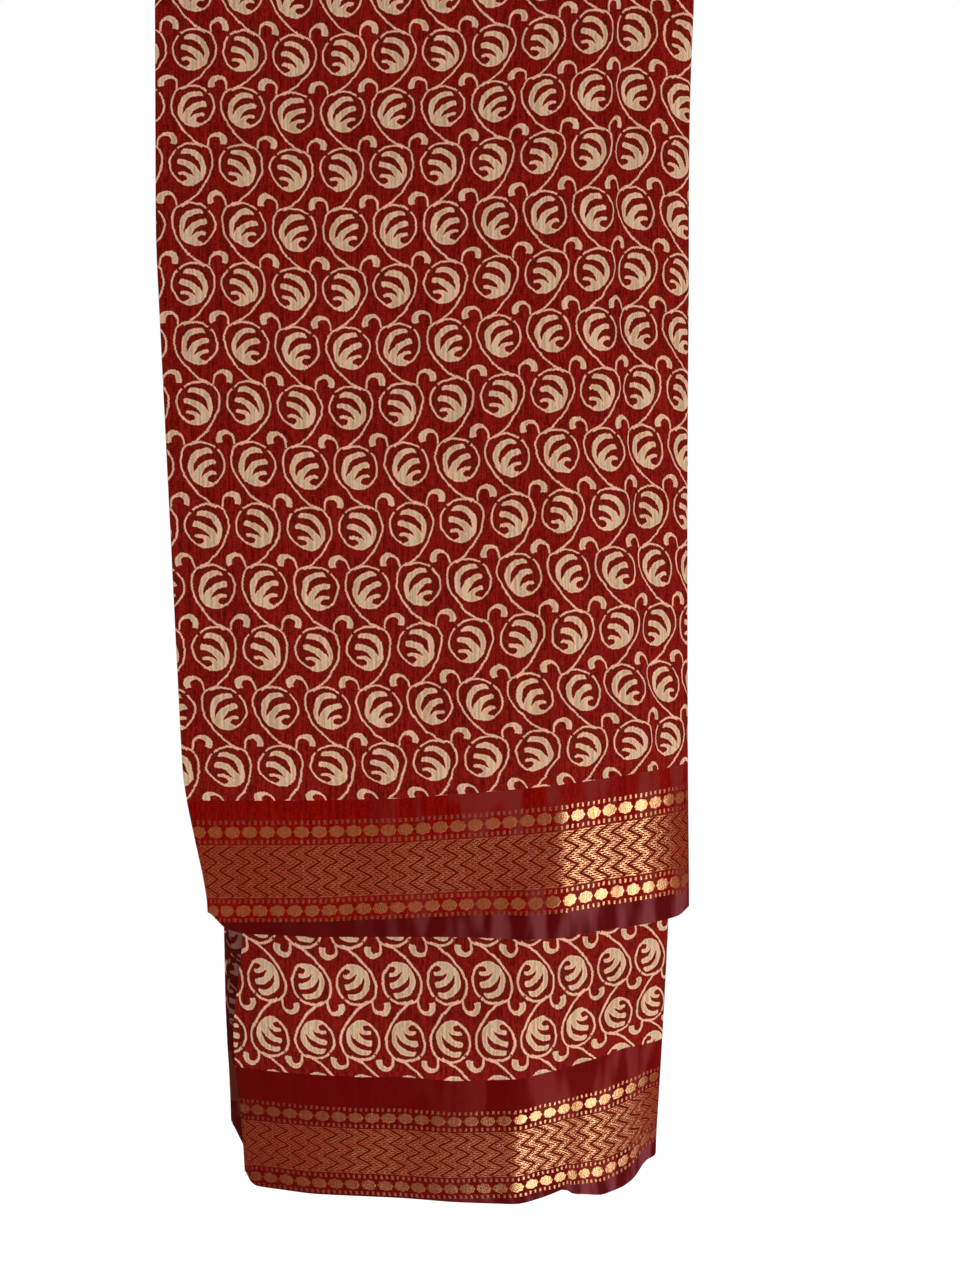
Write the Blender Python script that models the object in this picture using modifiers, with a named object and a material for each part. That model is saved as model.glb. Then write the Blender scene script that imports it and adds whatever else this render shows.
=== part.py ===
"""A block-printed sari with woven borders, folded lengthwise into a strip and hung over a bar.

The strip is one cloth folded into about twenty layers. Its outer cloth wraps both faces and the round
spine on the right, and the folded layers inside share one solid that shows at the left edge and hems.
Metres, Z up. X runs along the bar, Y to the rear, and the origin is where the bar carries the fold.
"""

from collections import namedtuple

import bmesh
import bpy
import numpy as np

# Driving sizes of the folded strip
BAR_RADIUS = 0.008
STACK = 0.0090
WALL = 0.0012
LAYER_GAP = 0.0004
SEAM_GAP = 0.0004
SPINE_FULLNESS = 0.0014
CROWN_SKIRT = 0.012

MID_RADIUS = BAR_RADIUS + STACK / 2
CROWN_Z = -BAR_RADIUS
QUARTER = MID_RADIUS * np.pi / 2
CORE_HALF = STACK / 2 - WALL - LAYER_GAP

# How each drop curls back past its crease: how deep, how that is shared between a slant, a bend and a
# lip at the spine, and the share of it that is there soon below the bar
Curl = namedtuple("Curl", "depth crease_x slant bend lip early")
FRONT_CURL = Curl(0.029, 0.0665, 0.60, 0.25, 0.15, 0.40)
BACK_CURL = Curl(0.044, 0.0495, 0.85, 0.10, 0.05, 0.15)
BEND_POWER = 3
LIP_POWER = 12
EARLY_REACH = 0.08
CREASE_SOFTNESS = 0.05
CURL_START = 0.024

# The back drop's left edge curls back too, and the front hem is tucked back on its left
BACK_LEFT_CURL = 0.010
BACK_LEFT_REACH = 0.060
BACK_LEFT_POWER = 3
HEM_TUCK = 0.006
HEM_TUCK_HEIGHT = 0.080
HEM_TUCK_END_X = 0.020
HEM_TUCK_FADE = 0.045

# Where the folds stand fuller: from a place across to the spine, and from a path length down each drop
FULL_START_X = 0.085
FULL_RUN = 0.045
FULL_START_PATH = 0.030
FULL_PATH_RUN = 0.150

# Lowest points of the two hems
FRONT_LOW = -0.4845
BACK_LOW = -0.6314

# Where the strip's edges run at each height: its outer face, its bar side face and its spine
Level = namedtuple("Level", "z left_out left_in right")
FRONT_LEVELS = (
    Level(0.0000, -0.1335, -0.1320, 0.1317),
    Level(-0.1355, -0.1330, -0.1310, 0.1320),
    Level(-0.2555, -0.1270, -0.1250, 0.1324),
    Level(-0.4055, -0.1195, -0.1180, 0.1335),
    Level(-0.4655, -0.1085, -0.1070, 0.1342),
)
BACK_LEVELS = (
    Level(0.0000, -0.1335, -0.1320, 0.1317),
    Level(-0.2500, -0.1210, -0.1130, 0.1312),
    Level(-0.4880, -0.1087, -0.0983, 0.1297),
    Level(-0.5450, -0.1080, -0.1026, 0.1275),
    Level(-0.5740, -0.1053, -0.0995, 0.1262),
    Level(-0.6220, -0.1040, -0.0948, 0.1238),
)

# Where the border starts and where the hem lies, across each face
Edge = namedtuple("Edge", "x seam hem")
FRONT_OUT = (
    Edge(-0.1195, -0.4155, -0.4680),
    Edge(-0.0990, -0.4155, -0.4795),
    Edge(-0.0515, -0.4155, -0.4845),
    Edge(-0.0115, -0.4145, -0.4845),
    Edge(0.0525, -0.4095, -0.4845),
    Edge(0.0900, -0.4057, -0.4814),
    Edge(0.1335, -0.4003, -0.4777),
)
FRONT_IN = (
    Edge(-0.1190, -0.4130, -0.4790),
    Edge(0.0400, -0.4110, -0.4800),
    Edge(0.1335, -0.4003, -0.4777),
)
BACK_IN = (
    Edge(-0.0980, -0.5648, -0.6235),
    Edge(-0.0650, -0.5655, -0.6255),
    Edge(0.0285, -0.5650, -0.6314),
    Edge(0.0600, -0.5640, -0.6300),
    Edge(0.0934, -0.5600, -0.6335),
    Edge(0.1117, -0.5610, -0.6330),
    Edge(0.1240, -0.5615, -0.6285),
)
BACK_OUT = (
    Edge(-0.1080, -0.5380, -0.6045),
    Edge(0.0100, -0.5400, -0.6075),
    Edge(0.0800, -0.5440, -0.6110),
    Edge(0.1240, -0.5615, -0.6285),
)

# Places across the strip, closer together where it curls, and the turn round the spine
ACROSS = np.array([0.0, 0.1, 0.2, 0.3, 0.4, 0.5, 0.6, 0.68, 0.74, 0.79, 0.84, 0.89, 0.93, 0.97, 1.0])
SPINE_TURN = np.linspace(0.0, np.pi, 9)[1:-1]
CORE_TURN = np.linspace(0.0, np.pi, 6)[1:-1]
NUDGE = 1e-4

# The folded edges inside: how far each stands back from the outer cloth's left edge
Fold = namedtuple("Fold", "setback wave")
FOLDS = (Fold(0.0030, 0.0008), Fold(0.0012, -0.0006), Fold(0.0042, 0.0007), Fold(0.0018, -0.0009))
FOLD_VALLEY = 0.0060
FOLD_WAVE_LENGTH = 0.21

# Points round one folded edge: their height as a share of the fold's thickness, and their setback
Tip = namedtuple("Tip", "height setback")
TIPS = (Tip(-0.42, 0.0009), Tip(-0.22, 0.0002), Tip(0.22, 0.0002), Tip(0.42, 0.0009))
FOLD_POINTS = len(TIPS) + 1
TONGUE_POINTS = FOLD_POINTS * len(FOLDS) - 1

# The hems inside: the share of the layers that reach each step, and its height over the lowest
Step = namedtuple("Step", "share height")
FRONT_STEPS = (Step(1.0, 0.0070), Step(0.75, 0.0050), Step(0.5, 0.0030), Step(0.25, 0.0014))
BACK_STEPS = (Step(1.0, 0.0060), Step(0.75, 0.0045), Step(0.5, 0.0030), Step(0.25, 0.0015))
STEP_RISE = 0.0003
HEM_SETBACK = 0.0016

FRONT_ROWS = 13
BORDER_ROWS = 6
CROWN_ROWS = 15
BACK_ROWS = 15

RED_PRINT = ("printed_cotton_silk", (0.33, 0.022, 0.016, 1.0), 0.78, 0.0)
ZARI = ("woven_zari_border", (0.36, 0.13, 0.045, 1.0), 0.42, 0.55)
FOLDED = ("folded_layers", (0.16, 0.012, 0.014, 1.0), 0.82, 0.0)


def ramp(value):
    """Rise smoothly from 0 to 1 as the value goes from 0 to 1."""
    held = np.clip(value, 0.0, 1.0)
    return held * held * (3.0 - 2.0 * held)


def column(rows, key, value, at):
    """Read one named column of a table between its rows, at places along another column."""
    keys = np.array([getattr(row, key) for row in rows])
    values = np.array([getattr(row, value) for row in rows])
    order = np.argsort(keys)
    return np.interp(at, keys[order], values[order])


def path_at(z, side):
    """Path length from the top of the fold to a height, negative down the front."""
    return side * (QUARTER + CROWN_Z - z)


FRONT_END = path_at(FRONT_LOW, 1)
BACK_END = path_at(BACK_LOW, 1)


def height_at(path):
    """Height of the strip's middle at each path length."""
    down = np.maximum(np.abs(path) - QUARTER, 0.0)
    angle = np.clip(path, -QUARTER, QUARTER) / MID_RADIUS
    return CROWN_Z + MID_RADIUS * np.cos(angle) - down


def edges_at(path, name):
    """Place of a named edge of the strip at each path length, front or back."""
    z = height_at(path)
    return np.where(path < 0, column(FRONT_LEVELS, "z", name, z), column(BACK_LEVELS, "z", name, z))


def early(share):
    """Rise from 0 to nearly 1 soon below the bar."""
    return share**2 / (share**2 + EARLY_REACH**2)


def curl_back(curl, grown, x, right):
    """How far a drop curls back past its softened crease, up to the spine."""
    across = (x - curl.crease_x) / (right - curl.crease_x)
    across = (across + np.sqrt(across**2 + CREASE_SOFTNESS**2)) / 2
    form = curl.slant * across + curl.bend * across**BEND_POWER + curl.lip * across**LIP_POWER
    return curl.depth * grown * form


def recession(x, path):
    """How far the cloth stands back from straight down, from its curls and its tucked hem."""
    right = edges_at(path, "right")
    front = np.clip((-path - CURL_START) / (FRONT_END - CURL_START), 0.0, 1.1)
    slowing = 1 - (1 - np.minimum(front, 1)) ** 2
    front_grown = FRONT_CURL.early * early(front) + (1 - FRONT_CURL.early) * slowing

    back = np.clip((path - CURL_START) / (BACK_END - CURL_START), 0.0, 1.1)
    back_grown = BACK_CURL.early * early(back) + (1 - BACK_CURL.early) * back
    left = edges_at(path, "left_out")
    inward = np.clip(1 - (x - left) / BACK_LEFT_REACH, 0.0, 1.2)
    left_curl = BACK_LEFT_CURL * back * inward**BACK_LEFT_POWER

    low_share = ramp((-path - FRONT_END + HEM_TUCK_HEIGHT) / HEM_TUCK_HEIGHT)
    tuck = HEM_TUCK * low_share * (1 - ramp((x - HEM_TUCK_END_X) / HEM_TUCK_FADE))
    front_curl = curl_back(FRONT_CURL, front_grown, x, right)
    back_curl = curl_back(BACK_CURL, back_grown, x, right)
    return front_curl + back_curl + left_curl + tuck


def middle(x, path):
    """Middle surface of the strip: down the front, over the bar and down the back."""
    angle = np.clip(path, -QUARTER, QUARTER) / MID_RADIUS
    y = MID_RADIUS * np.sin(angle) + recession(x, path)
    return np.stack([x, y, height_at(path)], axis=-1)


def unit(vectors):
    """Vectors scaled to a length of 1."""
    return vectors / np.linalg.norm(vectors, axis=-1, keepdims=True)


def strip_point(x, path, out, beyond=0.0):
    """A point off the middle surface: along its outward normal, and past its right end."""
    along_x = unit(middle(x + NUDGE, path) - middle(x - NUDGE, path))
    along_path = unit(middle(x, path + NUDGE) - middle(x, path - NUDGE))
    normal = unit(np.cross(along_x, along_path))
    away = unit(np.cross(along_path, normal))
    return middle(x, path) + normal * out[..., None] + away * np.asarray(beyond)[..., None]


def fullness(x, path):
    """Extra half thickness near the spine, where the folds stand fuller below the bar."""
    near_spine = ramp((x - FULL_START_X) / FULL_RUN)
    return SPINE_FULLNESS * near_spine * ramp((np.abs(path) - FULL_START_PATH) / FULL_PATH_RUN)


def shares(count):
    """Evenly spaced shares from 0 to 1."""
    return np.linspace(0.0, 1.0, count)


def face_x(share, path, name):
    """Place across one face, from its left edge to the spine."""
    left = edges_at(path, name)
    right = edges_at(path, "right")
    return left + share * (right - left)


def face_row(share, start, end, name):
    """Places and path lengths across one face, a share of the way between two lines."""
    path = start(ACROSS, face_x(ACROSS, start(ACROSS, ACROSS * 0), name))
    for _ in range(2):
        x = face_x(ACROSS, path, name)
        path = start(ACROSS, x) + share * (end(ACROSS, x) - start(ACROSS, x))
    return x, path


def wrap_grid(steps, out_lines, in_lines):
    """The outer cloth's grid of points: the outer face, the spine and the bar side face.

    Each face lies between a start line and an end line, each a function of the place across that
    gives the path length there, and the rows divide the way between them.
    """
    half = STACK / 2 - WALL / 2
    turn = SPINE_TURN / np.pi
    rows = []
    for share in steps:
        x_out, path_out = face_row(share, *out_lines, "left_out")
        x_in, path_in = face_row(share, *in_lines, "left_in")
        outer = strip_point(x_out, path_out, half + fullness(x_out, path_out))
        inner = strip_point(x_in, path_in, -half - fullness(x_in, path_in))
        path_turn = path_out[-1] + turn * (path_in[-1] - path_out[-1])
        x_turn = edges_at(path_turn, "right")
        radius = half + fullness(x_turn, path_turn)
        spine = strip_point(x_turn, path_turn, radius * np.cos(SPINE_TURN), radius * np.sin(SPINE_TURN))
        rows.append(np.concatenate([outer, spine, inner[::-1]]))
    return np.array(rows)


def level_line(path):
    """A start or end that lies at one path length all across."""
    return lambda share, x: np.full_like(share, path)


def table_line(rows, key, side, lift=0.0):
    """A start or end that follows a named column of an edge table, lifted by a height."""
    return lambda share, x: path_at(column(rows, "x", key, x) + lift, side)


def finish_object(mesh, name, look, parts):
    """Make an object of a mesh, with its own Principled material."""
    colour_name, colour, roughness, metallic = look
    material = bpy.data.materials.new(f"{name}_{colour_name}")
    material.use_nodes = True
    shader = material.node_tree.nodes["Principled BSDF"]
    shader.inputs["Base Color"].default_value = colour
    shader.inputs["Roughness"].default_value = roughness
    shader.inputs["Metallic"].default_value = metallic
    mesh.materials.append(material)
    thing = bpy.data.objects.new(name, mesh)
    parts.objects.link(thing)
    mesh.shade_smooth()
    return thing


def cloth_wall(name, grid, look, parts):
    """One stretch of the outer cloth: an open sheet of the grid's points, given its thickness."""
    rows, columns = grid.shape[:2]
    first = np.arange(rows - 1)[:, None] * columns + np.arange(columns - 1)[None, :]
    quads = np.stack([first, first + 1, first + columns + 1, first + columns], axis=-1).reshape(-1, 4)
    mesh = bpy.data.meshes.new(name)
    mesh.from_pydata(grid.reshape(-1, 3).tolist(), [], quads.tolist())
    wall = finish_object(mesh, name, look, parts)
    thickness = wall.modifiers.new("cloth thickness", "SOLIDIFY")
    thickness.thickness = WALL
    thickness.offset = 0.0
    thickness.use_even_offset = True
    return wall


def folded_edges(level, paths_out, paths_in, inset):
    """The folded edges on the left of one ring: each a rounded tongue, with a valley between."""
    thick = 2.0 / len(FOLDS)
    heights = np.array([tip.height for tip in TIPS])
    setbacks = np.array([tip.setback for tip in TIPS])
    left_in = face_x(0.0, paths_in[0], "left_in")
    left_out = face_x(0.0, paths_out[0], "left_out")
    points = []
    for number, fold in enumerate(FOLDS):
        share = (number + 0.5) / len(FOLDS)
        path = paths_in[0] + share * (paths_out[0] - paths_in[0])
        left = left_in + share * (left_out - left_in)
        wave = fold.wave * np.sin(2 * np.pi * path / FOLD_WAVE_LENGTH + number)
        tip = left + fold.setback + wave + inset
        levels = level(thick * (number + 0.5 + heights) - 1)
        points.append(strip_point(tip + setbacks, np.full(len(TIPS), path), levels))
        if number < len(FOLDS) - 1:
            valley = level(np.array([thick * (number + 1) - 1]))
            points.append(strip_point(np.array([left + FOLD_VALLEY]), np.array([path]), valley))
    return points


def core_ring(paths_out, paths_in, low=0.0, high=1.0, inset=0.0):
    """One ring round the folded layers, between two shares of their thickness.

    It runs along the outer side to the spine, round it, back along the bar's side, and then round
    the folded edges on the left.
    """
    half = (high - low) * CORE_HALF
    centre = (low + high - 1) * CORE_HALF

    def level(share):
        """Distance from the middle surface, from -1 on the bar's side of the ring to 1 outside."""
        return centre + half * share

    x_out = face_x(ACROSS, paths_out, "left_out") - inset * ACROSS
    x_in = face_x(ACROSS, paths_in, "left_in") - inset * ACROSS
    rise_out = level(1.0) * (1 + fullness(x_out, paths_out) / CORE_HALF)
    rise_in = level(-1.0) * (1 + fullness(x_in, paths_in) / CORE_HALF)
    outer = strip_point(x_out[1:], paths_out[1:], rise_out[1:])
    inner = strip_point(x_in[1:], paths_in[1:], rise_in[1:])

    path_turn = paths_out[-1] + CORE_TURN / np.pi * (paths_in[-1] - paths_out[-1])
    x_turn = edges_at(path_turn, "right") - inset
    grow = 1 + fullness(x_turn, path_turn) / CORE_HALF
    spine = strip_point(x_turn, path_turn, level(np.cos(CORE_TURN)) * grow, half * grow * np.sin(CORE_TURN))
    return np.concatenate([outer, spine, inner[::-1]] + folded_edges(level, paths_out, paths_in, inset))


def hem_steps(table, rows_out, rows_in, side):
    """Rings for a stepped hem, where fewer of the folded layers reach down at each step.

    The outermost layers reach lowest in front, and those next to the bar's side at the back.
    """
    rings = []
    for number, (step, below) in enumerate(zip(table, table[1:] + (Step(0.0, 0.0),))):
        low, high = (1 - step.share, 1.0) if side < 0 else (0.0, step.share)
        heights = [below.height] if number == 0 else [step.height - STEP_RISE, below.height]
        for height in heights:
            lift = height + HEM_SETBACK
            _, path_out = face_row(0.0, *[table_line(rows_out, "hem", side, lift)] * 2, "left_out")
            _, path_in = face_row(0.0, *[table_line(rows_in, "hem", side, lift)] * 2, "left_in")
            rings.append(core_ring(path_out, path_in, low, high, number * STEP_RISE))
    return rings


def core_rows(steps, out_lines, in_lines):
    """Rings of the folded layers between two lines, level with the outer cloth's own rows."""
    rings = []
    for share in steps:
        _, path_out = face_row(share, *out_lines, "left_out")
        _, path_in = face_row(share, *in_lines, "left_in")
        rings.append(core_ring(path_out, path_in))
    return rings


def hidden_layers(parts):
    """The layers folded inside: one loft from the front hem over the bar to the rear hem."""
    edge = QUARTER + CROWN_SKIRT
    front_lift = FRONT_STEPS[0].height + HEM_SETBACK
    back_lift = BACK_STEPS[0].height + HEM_SETBACK
    rings = hem_steps(FRONT_STEPS, FRONT_OUT, FRONT_IN, -1)[::-1]
    rings += core_rows(shares(BORDER_ROWS),
                       (table_line(FRONT_OUT, "hem", -1, front_lift), table_line(FRONT_OUT, "seam", -1)),
                       (table_line(FRONT_IN, "hem", -1, front_lift), table_line(FRONT_IN, "seam", -1)))
    rings += core_rows(shares(FRONT_ROWS)[1:-1],
                       (table_line(FRONT_OUT, "seam", -1), level_line(-edge)),
                       (table_line(FRONT_IN, "seam", -1), level_line(-edge)))
    rings += core_rows(shares(CROWN_ROWS), (level_line(-edge), level_line(edge)),
                       (level_line(-edge), level_line(edge)))
    rings += core_rows(shares(BACK_ROWS)[1:-1],
                       (level_line(edge), table_line(BACK_OUT, "seam", 1)),
                       (level_line(edge), table_line(BACK_IN, "seam", 1)))
    rings += core_rows(shares(BORDER_ROWS),
                       (table_line(BACK_OUT, "seam", 1), table_line(BACK_OUT, "hem", 1, back_lift)),
                       (table_line(BACK_IN, "seam", 1), table_line(BACK_IN, "hem", 1, back_lift)))
    rings += hem_steps(BACK_STEPS, BACK_OUT, BACK_IN, 1)
    return loft("hidden_layers", np.array(rings), FOLDED, parts)


def end_faces(end):
    """Faces that fill one end of the folded layers: between its two sides, in its spine and folds."""
    sides = len(ACROSS) - 1
    outer = end[:sides]
    spine = end[sides:-TONGUE_POINTS - sides]
    inner = end[-TONGUE_POINTS - sides:-TONGUE_POINTS][::-1]
    folds = end[-TONGUE_POINTS:]
    faces = [[outer[i], outer[i + 1], inner[i + 1], inner[i]] for i in range(sides - 1)]
    faces.append([outer[-1]] + spine + [inner[-1]])
    valleys = [folds[len(TIPS) + FOLD_POINTS * number] for number in range(len(FOLDS) - 1)]
    for number in range(len(FOLDS)):
        first = FOLD_POINTS * number
        tongue = folds[first:first + len(TIPS)]
        faces.append(valleys[max(number - 1, 0):number] + tongue + valleys[number:number + 1])
    faces.append([inner[0], folds[0]] + valleys + [folds[-1], outer[0]])
    return faces


def loft(name, rings, look, parts):
    """A closed body through rings of equal count, its two ends filled."""
    count, around = rings.shape[:2]
    bm = bmesh.new()
    corners = [[bm.verts.new(point) for point in ring] for ring in rings]
    for here, there in zip(corners, corners[1:]):
        for index in range(around):
            following = (index + 1) % around
            bm.faces.new((here[index], here[following], there[following], there[index]))
    for end in (corners[0], corners[-1]):
        for face in end_faces(end):
            bm.faces.new(face)
    bmesh.ops.recalc_face_normals(bm, faces=bm.faces)
    mesh = bpy.data.meshes.new(name)
    bm.to_mesh(mesh)
    bm.free()
    return finish_object(mesh, name, look, parts)


def outer_cloth(parts):
    """The five stretches of the outer cloth, each a wall of its own with a small gap between."""
    edge = QUARTER + CROWN_SKIRT
    front_top = level_line(-edge - SEAM_GAP)
    back_top = level_line(edge + SEAM_GAP)
    crown = (level_line(-edge), level_line(edge))

    cloth_wall("front_field", wrap_grid(
        shares(FRONT_ROWS),
        (table_line(FRONT_OUT, "seam", -1), front_top),
        (table_line(FRONT_IN, "seam", -1), front_top)), RED_PRINT, parts)
    cloth_wall("front_border", wrap_grid(
        shares(BORDER_ROWS),
        (table_line(FRONT_OUT, "hem", -1), table_line(FRONT_OUT, "seam", -1, -SEAM_GAP)),
        (table_line(FRONT_IN, "hem", -1), table_line(FRONT_IN, "seam", -1, -SEAM_GAP))), ZARI, parts)
    cloth_wall("crown_field", wrap_grid(shares(CROWN_ROWS), crown, crown), RED_PRINT, parts)
    cloth_wall("back_field", wrap_grid(
        shares(BACK_ROWS),
        (back_top, table_line(BACK_OUT, "seam", 1)),
        (back_top, table_line(BACK_IN, "seam", 1))), RED_PRINT, parts)
    cloth_wall("back_border", wrap_grid(
        shares(BORDER_ROWS),
        (table_line(BACK_OUT, "seam", 1, -SEAM_GAP), table_line(BACK_OUT, "hem", 1)),
        (table_line(BACK_IN, "seam", 1, -SEAM_GAP), table_line(BACK_IN, "hem", 1))), ZARI, parts)


def main():
    """Clear the scene and build the sari."""
    for thing in list(bpy.data.objects):
        bpy.data.objects.remove(thing, do_unlink=True)
    parts = bpy.data.collections.new("sari")
    bpy.context.scene.collection.children.link(parts)
    outer_cloth(parts)
    hidden_layers(parts)


main()
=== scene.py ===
"""The looks of a block-printed sari, folded into a strip and hung over a bar.

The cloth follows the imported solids: one outer cloth wraps both faces and the round spine of the strip,
and the layers folded inside it show at the left edge and at the hems. All places are in metres, in the
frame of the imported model. Two UV maps, in millimetres of cloth, carry the patterns: "print" runs with
the block print, and "weave" runs with the threads and gives the distance from the hem.
"""

import logging
from dataclasses import dataclass
from enum import Enum
from functools import partial
from typing import Callable, NamedTuple, Sequence, Union

import bpy
import numpy as np
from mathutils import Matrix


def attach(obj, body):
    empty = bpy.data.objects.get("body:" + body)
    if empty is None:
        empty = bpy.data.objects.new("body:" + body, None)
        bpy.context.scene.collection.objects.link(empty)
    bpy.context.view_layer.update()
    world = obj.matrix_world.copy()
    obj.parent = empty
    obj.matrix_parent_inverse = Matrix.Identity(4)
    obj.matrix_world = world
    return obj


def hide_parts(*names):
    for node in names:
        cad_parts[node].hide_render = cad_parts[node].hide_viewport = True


log = logging.getLogger("sari")

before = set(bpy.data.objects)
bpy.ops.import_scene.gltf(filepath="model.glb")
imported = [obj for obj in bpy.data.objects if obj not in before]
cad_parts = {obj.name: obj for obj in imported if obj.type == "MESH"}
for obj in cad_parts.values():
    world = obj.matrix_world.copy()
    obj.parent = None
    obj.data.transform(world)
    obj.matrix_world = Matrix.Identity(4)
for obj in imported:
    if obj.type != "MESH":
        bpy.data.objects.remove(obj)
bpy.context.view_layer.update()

Array = np.ndarray
Socket = bpy.types.NodeSocket
Tree = bpy.types.NodeTree
Node = bpy.types.Node
Material = bpy.types.Material
Thing = bpy.types.Object
Number = Union[float, Socket]
Colour = tuple[float, float, float, float]
Line = Callable[[Array], Array]
Row = tuple[Array, Array, Array]


# ---------------------------------------------------------------- form


class Level(NamedTuple):
    """Where the strip's edges run at one height: its outer face, its bar side face and its spine."""

    z: float
    left_out: float
    left_in: float
    right: float


class Edge(NamedTuple):
    """Height of the print's end and of the hem at one place across a face."""

    x: float
    seam: float
    hem: float


class Hidden(NamedTuple):
    """Width of selvedge, in millimetres, that is turned out of sight at each hem at one place across."""

    x: float
    front: float
    back: float


class Crease(NamedTuple):
    """A soft ridge, or a trough where its height is below zero, that runs down a face.

    It lies at top where it starts and at low where it ends, start and end being path lengths from the
    top of the fold. Its width is half the distance across it.
    """

    top: float
    low: float
    start: float
    end: float
    width: float
    height: float


class Side(Enum):
    """The two drops of the strip. The value is the sign of the path length down each."""

    FRONT = -1
    BACK = 1


class Slot(Enum):
    """The record's material slots."""

    PRINTED = "printed_cloth"
    BORDER = "zari_border"
    FOLDED = "folded_layers"


class Stretch(NamedTuple):
    """What a piece stands for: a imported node, its slot, and width and length of the cut that shows."""

    node: str
    slot: Slot
    flat: tuple[float, float]


class Cloth:
    """A part of the sari. Its stretches stand in the order in which it builds its pieces."""

    stretches: tuple[Stretch, ...]

    def dress(self, pieces: Sequence[Thing], materials: dict[Slot, Material]) -> None:
        """Give each piece its material, hide the imported node that it stands for, and attach it to the root
        body.

        Args:
            pieces: the pieces.
            materials: the finishes by slot.
        """
        for piece, stretch in zip(pieces, self.stretches):
            piece.data.materials.append(materials[stretch.slot])
            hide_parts(stretch.node)
            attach(piece, "root")


def ramp(value: Array) -> Array:
    """Rise smoothly from 0 to 1 as the value goes from 0 to 1."""
    held = np.clip(value, 0.0, 1.0)
    return held * held * (3.0 - 2.0 * held)


def crowded(count: int) -> Array:
    """Shares from 0 to 1 that lie closer together at both ends: 0.4 even, 0.6 as a cosine wave."""
    even = np.linspace(0.0, 1.0, count)
    return 0.4 * even + 0.3 * (1 - np.cos(np.pi * even))


def unit(vectors: Array) -> Array:
    """Scale vectors to a length of 1."""
    return vectors / np.linalg.norm(vectors, axis=-1, keepdims=True)


def column(rows: Sequence[NamedTuple], key: str, value: str, at: Array, soft: float = 0.0) -> Array:
    """Read one named column of a table between its rows.

    Args:
        rows: the table.
        key: name of the column that the places are along.
        value: name of the column that is read.
        at: places along the key column.
        soft: corners are rounded by averaging this far to each side.

    Returns:
        One value for each place.
    """
    keys = np.array([getattr(row, key) for row in rows])
    values = np.array([getattr(row, value) for row in rows])
    order = np.argsort(keys)

    def read(places: Array) -> Array:
        """Read the column on straight lines between its rows."""
        return np.interp(places, keys[order], values[order])

    if soft == 0.0:
        return read(at)
    return (read(at - soft) + 2.0 * read(at) + read(at + soft)) / 4.0


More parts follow.
